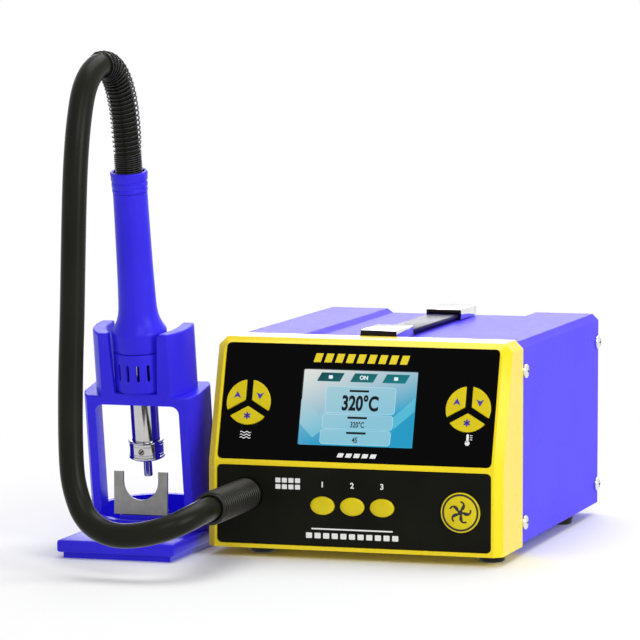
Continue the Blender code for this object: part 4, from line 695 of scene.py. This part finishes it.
def follow_handpiece(made):
    """Bakes the piece's placement into its mesh."""
    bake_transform(made)


def make_hose():
    """The hose from the console's sleeve to the handpiece, and the wound spring on its end."""
    line = smooth(hose_points(), SPAN_STEPS)
    hose = curve_piece("air_hose_tube", line, HOSE_RADIUS, "hose", 10)
    follow_handpiece(hose)
    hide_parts("air_hose")
    foot = len(line) - 1 - SPAN_STEPS
    guarded = line[foot - SPAN_STEPS * SPRING_SPANS:foot + 1]
    turns = coil_round(guarded, HOSE_RADIUS + GAP / 2 + SPRING_WIRE / 2)
    spring = curve_piece("guard_spring_wire", turns, SPRING_WIRE / 2, "wire", 3)
    follow_handpiece(spring)
    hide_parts("hose_spring")


def make_camera():
    """The photograph's camera: a long lens, a little to the right and above."""
    data = bpy.data.cameras.new("photo_camera")
    data.lens = CAMERA_LENS
    data.sensor_width = 36
    data.clip_start = 0.05
    data.clip_end = 30
    camera = bpy.data.objects.new("photo_camera", data)
    camera.location = STATION @ CAMERA_PLACE
    camera.rotation_euler = (math.pi / 2 + CAMERA_PITCH, 0, CAMERA_YAW)
    bpy.context.scene.collection.objects.link(camera)
    bpy.context.scene.camera = camera


make_camera()
make_hose()


# Console

FACES_FRONT = -0.6      # a normal's Y, under which a handle cap's face is a front face and gets the painted dark reflection


def make_console():
    """Case, front panels and carrying handle."""
    dressed("front_bezel", "bezel", 0.4 * MM, 3)
    dressed("upper_panel", "acrylic", 0.15 * MM)
    dressed("lower_panel", "film", 0.15 * MM)
    dressed("case_cover", "case", 0.45 * MM, 3)
    dressed("base_pan", "case", 0.3 * MM)
    dressed("rear_panel", "case", 0.25 * MM)
    for node in ("handle_cap_front", "handle_cap_rear"):
        cap = dressed(node, "chrome", 0.5 * MM, 3)
        # the caps' front faces get the painted dark reflection, the rest stays chrome
        cap.data.materials.append(LOOKS["painted_shade_and_reflection"])
        for face in cap.data.polygons:
            face.material_index = 1 if face.normal.y < FACES_FRONT else 0
    dressed("handle_strap", "strap", 0.4 * MM)


KEY_RINGS = {"air": -70.1 * MM, "temp": 70.1 * MM}
KEY_RING_CENTRE = 36.1 * MM
KEY_FRONT = -0.5 * MM       # depths behind the panel's front edge
PANEL_FRONT = 0.5 * MM
ICON = 0.12 * MM            # how far a printed mark stands out of what carries it
INK = 0.3 * MM              # thickness of a mark, most of it sunk in
FIGURE_WEIGHT = 0.12 * MM   # how much a figure's strokes are thickened on each side


def arrow_outline(size):
    """An arrowhead with a notched tail, pointing up."""
    tail = -size * 0.42
    return [(0, size * 0.52), (-size * 0.5, tail), (0, -size * 0.16), (size * 0.5, tail)]


def spin_flat(form, angle):
    """Turns a flat drawing about the origin."""
    bmesh.ops.rotate(form, cent=(0, 0, 0), matrix=Matrix.Rotation(angle, 3, "Z"), verts=form.verts)


def star_form(size, thickness):
    """A six-armed star of three crossed bars."""
    bars = []
    for turn in range(3):
        bar = plate(rounded_box((0, 0), (size * 0.22, size), size * 0.08, 3), thickness)
        spin_flat(bar, turn * math.pi / 3)
        bars.append(bar)
    return merged(bars)


def make_keys():
    """The two round groups of three keys, the three oval keys, and their marks."""
    thirds = {"up": (150, 0), "down": (30, math.pi), "star": (270, None)}
    for group, x in KEY_RINGS.items():
        for third, (heading, turn) in thirds.items():
            node = f"{group}_{third}_key"
            dressed(node, "key", 0.45 * MM, 3)
            reach = 8.4 * MM if third != "star" else 8.6 * MM
            at = (x + reach * math.cos(math.radians(heading)),
                  KEY_RING_CENTRE + reach * math.sin(math.radians(heading)))
            if turn is None:
                form = star_form(4.5 * MM, INK)
            else:
                form = plate(arrow_outline(4.7 * MM), INK)
                spin_flat(form, turn)
            bmesh.ops.translate(form, vec=(*at, 0), verts=form.verts)
            piece(node + "_mark", form, "indigo_ink", BODY_OF[node], on_face(LEAN, KEY_FRONT - ICON))
    for number in (1, 2, 3):
        node = f"channel_key_{number}"
        low, high = (Vector(corner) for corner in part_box(node))
        width, height = high.x - low.x, high.z - low.z
        dome = [(0, 0.3), (0.2, 0.26), (0.34, 0.12), (0.43, -0.1), (0.485, -0.5), (0.5, -1.0),
                (0.5, -6.2), (0, -6.2)]      # shares of the key's width against mm
        form = turned([(share, h * MM) for share, h in dome], 64)
        bmesh.ops.scale(form, vec=(width, height, 1), verts=form.verts)
        across = (low.x + high.x) / 2
        place = Matrix.Translation((across, low.y + 0.3 * MM, (low.z + high.z) / 2)) @ FACING
        piece(node + "_cap", form, "key", BODY_OF[node], place, (node,))
        figure = numerals(str(number), 3.4 * MM, 0.25 * MM, FIGURE_WEIGHT)
        above = Matrix.Translation((across - STATION.translation.x, PANEL_FRONT - ICON, 46.6 * MM))
        piece(f"channel_figure_{number}", figure, "white_ink", "console", STATION @ above @ FACING)


def inked(name, outlines, look, place):
    """Flat marks of printing ink on the console, from their outlines in XY."""
    piece(name, merged([plate(outline, INK) for outline in outlines]), look, "console", place)


def make_panel_marks():
    """Plain marks where the front carries printing: bars, a fan, a thermometer and rules."""
    leaning = on_face(LEAN, PANEL_FRONT - ICON)
    upright = on_face(STATION, PANEL_FRONT - ICON)
    bars = [slanted_box(((i - 4) * 6.9 * MM, 65.4 * MM), (4.6 * MM, 5.6 * MM), 0.28)
            for i in range(9)]
    inked("upper_bar_row", bars, "yellow_ink", leaning)
    small = [slanted_box((2 * MM + (i - 2) * 5.2 * MM, 4.9 * MM), (3.6 * MM, 2.6 * MM), 0.35)
             for i in range(5)]
    inked("lower_bar_row", small, "white_ink", leaning)
    waves = []
    for row in range(3):
        z = 17.6 * MM - row * 1.7 * MM
        top = [(-73.9 * MM + i * 0.57 * MM, z + 0.45 * MM * math.sin(i * math.pi / 3))
               for i in range(13)]
        waves.append(top + [(x, y - 0.55 * MM) for x, y in reversed(top)])
    inked("air_mark", waves, "white_ink", leaning)
    stem = rounded_box((71 * MM, 18.2 * MM), (1.5 * MM, 5.2 * MM), 0.7 * MM)
    bulb = arc((71 * MM, 15.2 * MM), 1.5 * MM, 0, 345, 23)
    ticks = [rounded_box((73.2 * MM, (17.4 + 1.3 * i) * MM), (1.5 * MM, 0.45 * MM), 0.15 * MM)
             for i in range(3)]
    inked("temperature_mark", [stem, bulb] + ticks, "white_ink", leaning)
    blocks = [rounded_box(((-48 + 4.2 * i) * MM, z * MM), (3.2 * MM, 2.9 * MM), 0.4 * MM)
              for i in range(4) for z in (48.6, 44.6)]
    inked("block_mark", blocks, "white_ink", upright)
    rules = [rounded_box((-0.5 * MM, 19.4 * MM), (52 * MM, 0.9 * MM), 0.4 * MM)]
    rules += [rounded_box(((-28 + 5.5 * i) * MM, 15.2 * MM), (3.9 * MM, 3.4 * MM), 0.5 * MM)
              for i in range(11)]
    inked("ruled_mark", rules, "white_ink", upright)


def make_badge():
    """A round plaque in two tones with a five-bladed fan."""
    low, high = (Vector(corner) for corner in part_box("front_badge"))
    radius = (high.x - low.x) / 2
    centre = ((low.x + high.x) / 2, (low.z + high.z) / 2)
    depth = high.y - low.y
    place = Matrix.Translation((centre[0], low.y, centre[1])) @ FACING
    disc = turned(filleted([(0, 0), (radius, 0), (radius, -depth), (0, -depth)], 0.25 * MM, 3), 96)
    piece("badge_disc", disc, "key", "console", place, ("front_badge",))
    print_depth = 0.1 * MM
    proud = place @ Matrix.Translation((0, 0, print_depth / 2))
    band = ring((0, 0), radius * 0.93, radius * 0.83, print_depth)
    piece("badge_band", band, "black_ink", "console", proud)
    blades = []
    for turn in range(5):
        hub = (0, radius * 0.34)
        outline = arc(hub, radius * 0.25, -90, 90, 10) + arc(hub, radius * 0.16, 90, 30, 5)
        outline += [(0.02 * radius, radius * 0.2)]
        blade = plate(outline, print_depth)
        spin_flat(blade, turn * 2 * math.pi / 5)
        blades.append(blade)
    blades.append(plate(arc((0, 0), radius * 0.13, 0, 350, 35), print_depth))
    piece("badge_fan", merged(blades), "black_ink", "console", proud)


# Depths of the display's layers behind the panel's front
LAYERS = {"ground": 1.55 * MM, "shards": 1.5 * MM, "tabs": 1.45 * MM, "boxes": 1.4 * MM,
          "tab_marks": 1.38 * MM, "figures": 1.3 * MM}
LAYER = 0.05 * MM       # thickness of one


def screen_spot(across, down):
    """A place on the display from its left and top edges, as shares of its size."""
    return ((across - 0.5) * SCREEN_SIZE[0], SCREEN_CENTRE + (0.5 - down) * SCREEN_SIZE[1])


def screen_size(across, down):
    """A width and height on the display from shares of its own."""
    return (across * SCREEN_SIZE[0], down * SCREEN_SIZE[1])


def make_screen():
    """The lit display: a sloped ground, pale shards, three tabs, three boxes and figures."""
    ground = plate(rounded_box((0, SCREEN_CENTRE), (72.6 * MM, 47.1 * MM), 0.6 * MM), 0.4 * MM)
    piece("screen_ground", ground, "screen", "console", on_face(LEAN, LAYERS["ground"]),
          ("display_glass",))
    pale = [[(0.0, 0.4), (0.17, 0.6), (0.24, 0.5), (0.24, 0.76), (0.12, 0.9), (0.0, 0.72)],
            [(0.8, 0.62), (0.99, 0.34), (0.99, 0.52), (0.82, 0.76)]]
    deep = [[(0.0, 0.72), (0.12, 0.9), (0.2, 0.8), (0.36, 0.985), (0.0, 0.985)],
            [(0.8, 0.985), (0.82, 0.76), (0.99, 0.52), (0.99, 0.985)]]
    for name, shards, look in (("pale", pale, "screen_shard"), ("deep", deep, "screen_deep")):
        forms = [plate([screen_spot(*spot) for spot in reversed(shard)], LAYER) for shard in shards]
        piece(f"screen_{name}_shards", merged(forms), look, "console",
              on_face(LEAN, LAYERS["shards"]))
    tabs = [plate(slanted_box(screen_spot(across, 0.1), screen_size(0.2, 0.115), 0.5), LAYER)
            for across in (0.24, 0.53, 0.81)]
    piece("screen_tabs", merged(tabs), "screen_tab", "console", on_face(LEAN, LAYERS["tabs"]))
    boxes = [((0.515, 0.395), (0.61, 0.355)), ((0.505, 0.68), (0.615, 0.195)),
             ((0.495, 0.882), (0.615, 0.195))]
    rim = 0.3 * MM
    rims, fills = [], []
    for (across, down), (width, height) in boxes:
        spot, size = screen_spot(across, down), screen_size(width, height)
        rims.append(plate(rounded_box(spot, size, 2.2 * MM), LAYER))
        inner = (size[0] - 2 * rim, size[1] - 2 * rim)
        fills.append(plate(rounded_box(spot, inner, 1.9 * MM), LAYER))
    piece("screen_box_rims", merged(rims), "screen_edge", "console", on_face(LEAN, LAYERS["tabs"]))
    piece("screen_boxes", merged(fills), "screen_box", "console", on_face(LEAN, LAYERS["boxes"]))
    figures = [("320°C", (0.515, 0.445), 8.8, 0.9), ("320°C", (0.505, 0.72), 3.4, 0.2),
               ("45", (0.495, 0.92), 3.4, 0.2)]
    forms = []
    narrow = 0.72       # the display's figures against the font's own width
    for words, spot, height, weight in figures:
        form = numerals(words, height * MM, LAYER, weight * 0.5 * MM)
        bmesh.ops.scale(form, vec=(narrow, 1, 1), verts=form.verts)
        bmesh.ops.translate(form, vec=(*screen_spot(*spot), 0), verts=form.verts)
        forms.append(form)
    for down in (0.275, 0.625, 0.825):
        rule = rounded_box(screen_spot(0.5, down), screen_size(0.17, 0.028), 0.3 * MM)
        forms.append(plate(rule, LAYER))
    piece("screen_figures", merged(forms), "screen_ink", "console", on_face(LEAN, LAYERS["figures"]))
    marks = [numerals("ON", 2.4 * MM, LAYER, FIGURE_WEIGHT)]
    bmesh.ops.translate(marks[0], vec=(*screen_spot(0.53, 0.1), 0), verts=marks[0].verts)
    for across in (0.24, 0.81):
        block = rounded_box(screen_spot(across, 0.1), screen_size(0.035, 0.045), 0.4 * MM)
        marks.append(plate(block, LAYER))
    piece("screen_tab_marks", merged(marks), "screen_light", "console",
          on_face(LEAN, LAYERS["tab_marks"]))


def make_feet():
    """Four rubber feet, hollow underneath."""
    for node in ("foot_front_left", "foot_front_right", "foot_rear_left", "foot_rear_right"):
        low, high = (Vector(corner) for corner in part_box(node))
        radius, height = (high.x - low.x) / 2, high.z
        profile = filleted([(0, height), (radius, height), (radius - 0.8 * MM, 0.9 * MM),
                            (radius - 1.7 * MM, 0), (radius * 0.45, 0), (radius * 0.4, 1.2 * MM),
                            (0, 1.2 * MM)], 0.5 * MM)
        place = Matrix.Translation(((low.x + high.x) / 2, (low.y + high.y) / 2, 0))
        piece(node + "_rubber", turned(profile, 48), "rubber", "console", place, (node,))


def make_screws():
    """Domed cross-head screws on the case's sides."""
    head = 2.6 * MM     # how far the domes stand out
    for side, turn in (("left", -math.pi / 2), ("right", math.pi / 2)):
        for end in ("front", "rear"):
            for level in ("low", "high"):
                node = f"screw_{side}_{end}_{level}"
                low, high = (Vector(corner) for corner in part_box(node))
                radius = (high.z - low.z) / 2
                dome = [(radius * math.sin(a), 0.8 * MM + 1.8 * MM * math.cos(a))
                        for a in (math.radians(10 * step) for step in range(10))]
                profile = dome + [(radius, 0), (1.9 * MM, 0), (1.9 * MM, -6 * MM), (0, -6 * MM)]
                seat = low.x + head if side == "left" else high.x - head
                place = Matrix.Translation((seat, (low.y + high.y) / 2, (low.z + high.z) / 2))
                place = place @ Matrix.Rotation(turn, 4, "Y")
                screw = piece(node + "_head", turned(profile, 40), "chrome", "console", place, (node,))
                cross_cut(screw, place)


def cross_cut(screw, place):
    """Cuts a cross recess into a screw's head."""
    for turn in (0.0, math.pi / 2):
        arm = plate(rounded_box((0, 0), (4.6 * MM, 0.95 * MM), 0.2 * MM, 2), 2.4 * MM)
        arm.transform(place @ Matrix.Translation((0, 0, 3.4 * MM)) @ Matrix.Rotation(turn, 4, "Z"))
        # the recess's cut faces get painted shade, a near-black chrome
        cut(screw, arm, "painted_shade_and_reflection")


def make_rear():
    """Mains inlet, fuse drawer and rocker switch."""
    dressed("power_inlet", "black", 0.3 * MM)
    dressed("fuse_drawer", "black", 0.2 * MM)
    dressed("switch_frame", "black", 0.3 * MM)
    dressed("power_rocker", "black", 0.4 * MM, 3)


def make_insides():
    """Boards, transformer, blower and heater, which only a cut or a see-through view shows."""
    looks = {
        "main_board": "board", "key_board": "board", "channel_board": "board", "transformer": "zinc",
        "blower_housing": "black", "blower_motor": "zinc", "impeller": "black", "air_duct": "rubber",
        "display_module": "zinc", "heater_core": "ceramic",
    }
    for node, look in looks.items():
        dressed(node, look, 0.2 * MM)


def make_sleeve():
    """The hose's flexible strain relief: fine turns of moulded rib from flange to lip."""
    low, high = (Vector(corner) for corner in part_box("hose_sleeve"))
    x, z = HOSE_OUTLET
    radius = 10.2 * MM
    bore = HOSE_RADIUS + GAP
    mouth, tail = SLEEVE_MOUTH, SLEEVE_MOUTH + (high.y - low.y)
    profile = [(bore, mouth + SLEEVE_SOCKET), (bore, mouth + 0.6 * MM), (bore + 0.5 * MM, mouth),
               (radius - 0.7 * MM, mouth), (radius - 0.1 * MM, mouth + 0.5 * MM),
               (radius - 0.1 * MM, mouth + 2.4 * MM)]
    ribs = 18
    start = mouth + 3 * MM
    pitch = (-1.2 * MM - start) / ribs
    for rib in range(ribs):
        y = start + rib * pitch
        profile += [(radius - 1.1 * MM, y), (radius - 1.1 * MM, y + 0.15 * pitch),
                    (radius - 0.15 * MM, y + 0.3 * pitch), (radius, y + 0.5 * pitch),
                    (radius - 0.05 * MM, y + 0.75 * pitch), (radius - 0.3 * MM, y + 0.92 * pitch)]
    inside = 3.8 * MM
    flange, thick = 13.2 * MM, 2.5 * MM
    profile += [(radius - 0.2 * MM, -0.9 * MM), (radius - 0.2 * MM, inside), (flange, inside),
                (flange, inside + thick), (radius, inside + thick), (radius, tail),
                (7.8 * MM, tail), (7.8 * MM, mouth + SLEEVE_SOCKET)]
    place = STATION @ Matrix.Translation((x, 0, z)) @ BACKWARD
    piece("hose_sleeve_ribbed", turned(profile, 72, closed=True), "sleeve", "console", place,
          ("hose_sleeve",), 50)


# Stand and handpiece

SHOULDER = 55 * MM      # heights along the axis of the stand's shoulder and of its wings' tops
CUP_TOP = 95.3 * MM


def make_stand():
    """Base plate, cradle with its two wings, forked nozzle rest and its screw."""
    dressed("stand_base", "indigo", 0.7 * MM, 3)
    softened(dressed("stand_cradle", "indigo", 0), (SHOULDER, CUP_TOP), 1.2 * MM)
    dressed("nozzle_fork", "plate", 0.25 * MM)
    dressed("fork_screw", "zinc", 0.15 * MM)


def lathed(profile, steps):
    """A closed profile of (radius, height along the axis) in mm, turned on the handpiece's axis."""
    return turned([(radius * MM, height * MM) for radius, height in profile], steps, closed=True)


def make_handpiece():
    """Grip, slotted vent collar, end ring, heater tube and nozzle, all turned on one axis."""
    grip = [(10.7, 182.7), (10.7, 178), (10.8, 168), (11.0, 150), (11.2, 136), (11.45, 124),
            (11.75, 114), (12.05, 108.5), (12.6, 104.6), (13.6, 101.2), (14.9, 98.6), (16.0, 96.8),
            (16.9, 95.3), (17.2, 94.2), (17.2, 93.4), (17.05, 91), (17.0, 88), (17.0, 83.2),
            (16.6, 82.7), (15.2, 82.5), (15.0, 83.5), (15.0, 93), (10, 104), (8.2, 120),
            (8.2, 182.7)]
    form = lathed(grip, 96)
    piece("grip_shell", form, "indigo", "handpiece", AXIS, ("handpiece_grip",), 40)
    collar = filleted([(15, 82.2), (16.6, 82.2), (17, 81.7), (17, 58.2), (16.2, 57.1),
                       (9.2, 57.1)], 0.4)
    collar += [(9.2, 59.1), (15, 59.1)]
    form = lathed(collar, 128)
    vent = piece("vent_collar_shell", form, "indigo", "handpiece", AXIS, ("vent_collar",), 40)
    cut_slots(vent)
    make_end_ring()
    make_tube()
    make_nozzle()


def cut_slots(vent):
    """Sixteen round-ended slots through the vent collar's wall."""
    for index in range(8):
        bar = plate(rounded_box((0, 70.5 * MM), (1.9 * MM, 10.6 * MM), 0.9 * MM), 40 * MM)
        bmesh.ops.translate(bar, vec=(0, 0, 20 * MM), verts=bar.verts)
        bar.transform(AXIS @ Matrix.Rotation(math.radians(22.5 * (index + 0.5)), 4, "Z") @ FACING)
        cut(vent, bar, "indigo")


def make_end_ring():
    """The grip's end ring: a flared lip round the spring's foot over two lower bands."""
    profile = [(7.8, 187.8), (7.8, 192.4), (8.2, 192.8), (9.6, 193.0), (9.6, 195.4), (10.0, 195.8),
               (11.1, 195.8), (11.6, 195.3), (11.65, 194.3), (11.45, 193.4), (11.4, 190.6), (11.1, 190.1),
               (10.85, 189.8), (10.85, 189.3), (11.15, 189.0), (11.2, 186.6), (11.0, 186.2), (10.8, 185.9),
               (10.8, 185.5), (11.0, 185.2), (11.0, 183.4), (10.8, 183.0), (6.5, 183.0), (6.5, 187.8)]
    form = lathed(profile, 80)
    piece("end_ring_ribbed", form, "indigo", "handpiece", AXIS, ("end_ring",), 35)


def make_tube():
    """The steel tube that the heater core sits in."""
    form = lathed([(8.05, 80), (8.85, 80), (8.85, 14.2), (8.65, 14), (8.05, 14)], 96)
    piece("heater_tube_polished", form, "tube", "handpiece", AXIS, ("heater_tube",))


def make_nozzle():
    """The clamped nozzle: a banded collar, a stepped floor and a short outlet, with its screw."""
    profile = [(9.15, 24), (10.9, 24), (11.35, 23.75), (11.4, 23.2), (11.1, 22.8), (10.75, 22.6),
               (10.75, 21.3), (11.0, 21.1), (11.0, 20.7), (10.75, 20.5), (10.75, 15.8), (11.0, 15.6),
               (11.0, 15.2), (10.75, 15.0), (10.75, 14.3), (11.3, 13.9), (11.4, 13.3), (11.3, 12.8),
               (10.7, 12.2), (9.4, 11.6), (4.2, 11.1), (3.1, 10.6), (2.75, 9.9), (2.75, 0.2), (2.6, 0),
               (2.1, 0), (2.05, 0.3), (2.05, 12.4), (9.15, 13.7)]
    form = lathed(profile, 96)
    nozzle = piece("nozzle_polished", form, "tube", "nozzle_body", AXIS, ("nozzle",), 35)
    place = AXIS @ Matrix.Translation((0, 0, 18.1 * MM)) @ FACING
    hole = turned([(0, 8 * MM), (2.0 * MM, 8 * MM), (2.0 * MM, 13 * MM), (0, 13 * MM)], 32)
    hole.transform(place)
    cut(nozzle, hole, "tube")
    outline = [(0, 11.6), (1.4, 11.55), (1.75, 11.3), (1.8, 10.9), (1.8, 9.3), (0, 9.3)]
    form = turned([(radius * MM, height * MM) for radius, height in outline], 32)
    head = piece("clamp_screw_head", form, "plate", "clamp", place, ("clamp_screw",))
    slot = plate(rounded_box((0, 0), (5 * MM, 0.75 * MM), 0.1 * MM, 2), 1.1 * MM)
    slot.transform(place @ Matrix.Translation((0, 0, 11.7 * MM)) @ Matrix.Rotation(0.8, 4, "Z"))
    # the slot's cut faces get painted shade, a near-black chrome
    cut(head, slot, "painted_shade_and_reflection")


make_console()
make_keys()
make_panel_marks()
make_badge()
make_screen()
make_feet()
make_screws()
make_rear()
make_insides()
make_sleeve()
make_stand()
make_handpiece()


# Floor, backdrop and light

SHADOW_RANGE = (0.22, 0.62)     # metres from the middle over which the floor fades to white
ROOM_LIGHT = 0.38               # strength of the light from all round


def make_stage():
    """A pale floor that shows white behind the object and still takes its shadow."""
    bm = bmesh.new()
    bmesh.ops.create_grid(bm, x_segments=1, y_segments=1, size=6)
    mesh = bpy.data.meshes.new("studio_floor")
    bm.to_mesh(mesh)
    bm.free()
    made, tree, shader = surface("studio_floor", "#F4F4F4", 0.9)
    out = tree.nodes["Material Output"]
    path = add(tree, "LightPath")
    white = add(tree, "Emission", {"Color": (1, 1, 1, 1), "Strength": 1.0})
    place = add(tree, "TexCoord")
    away = add(tree, "VectorMath", {0: place.outputs["Object"]}, operation="LENGTH")
    far = add(tree, "MapRange", {0: away.outputs["Value"], 1: SHADOW_RANGE[0], 2: SHADOW_RANGE[1]},
              interpolation_type="SMOOTHERSTEP")
    seen = add(tree, "Math", {0: path.outputs["Is Camera Ray"], 1: far.outputs[0]},
               operation="MULTIPLY")
    mirror = add(tree, "Math", {0: path.outputs["Is Glossy Ray"],
                                1: path.outputs["Is Transmission Ray"]}, operation="MAXIMUM")
    clear = add(tree, "Math", {0: mirror.outputs[0], 1: seen.outputs[0]}, operation="MAXIMUM")
    mixed = add(tree, "MixShader", {0: clear.outputs[0], 1: shader.outputs[0], 2: white.outputs[0]})
    tree.links.new(mixed.outputs[0], out.inputs["Surface"])
    mesh.materials.append(made)
    floor = bpy.data.objects.new("studio_floor", mesh)
    bpy.context.scene.collection.objects.link(floor)


def make_world():
    """A plain studio: soft light from all round, and white where it is seen or mirrored."""
    world = bpy.data.worlds.new("studio")
    bpy.context.scene.world = world
    world.use_nodes = True
    tree = world.node_tree
    soft = tree.nodes["Background"]
    soft.inputs["Color"].default_value = (1, 1, 1, 1)
    soft.inputs["Strength"].default_value = ROOM_LIGHT
    seen = add(tree, "Background", {"Color": (1, 1, 1, 1), "Strength": 1.0})
    path = add(tree, "LightPath")
    direct = add(tree, "Math", {0: path.outputs["Is Camera Ray"], 1: path.outputs["Is Glossy Ray"]},
                 operation="MAXIMUM")
    clear = add(tree, "Math", {0: direct.outputs[0], 1: path.outputs["Is Transmission Ray"]},
                operation="MAXIMUM")
    mixed = add(tree, "MixShader", {0: clear.outputs[0], 1: soft.outputs[0], 2: seen.outputs[0]})
    tree.links.new(mixed.outputs[0], tree.nodes["World Output"].inputs["Surface"])


def lamp(name, place, target, size, power):
    """A square soft light aimed at a point."""
    data = bpy.data.lights.new(name, "AREA")
    data.shape = "SQUARE"
    data.size = size
    data.energy = power
    made = bpy.data.objects.new(name, data)
    made.location = place
    made.rotation_euler = (Vector(target) - Vector(place)).to_track_quat("-Z", "Y").to_euler()
    bpy.context.scene.collection.objects.link(made)


def make_light():
    """Four large lamps: above, in front, to the right and behind on the left."""
    lamp("overhead", (0.15, 0.4, 1.7), (0, 0.05, 0.1), 1.3, 19)
    lamp("front", (0.7, -1.9, 1.5), (0, 0, 0.1), 0.9, 10)
    lamp("right_side", (1.7, -0.9, 0.8), (0.1, 0, 0.1), 0.9, 14)
    lamp("rear", (-0.55, 1.9, 0.75), (0, 0, 0.1), 1.0, 9)


make_stage()
make_world()
make_light()
bpy.context.scene.view_settings.view_transform = "Standard"
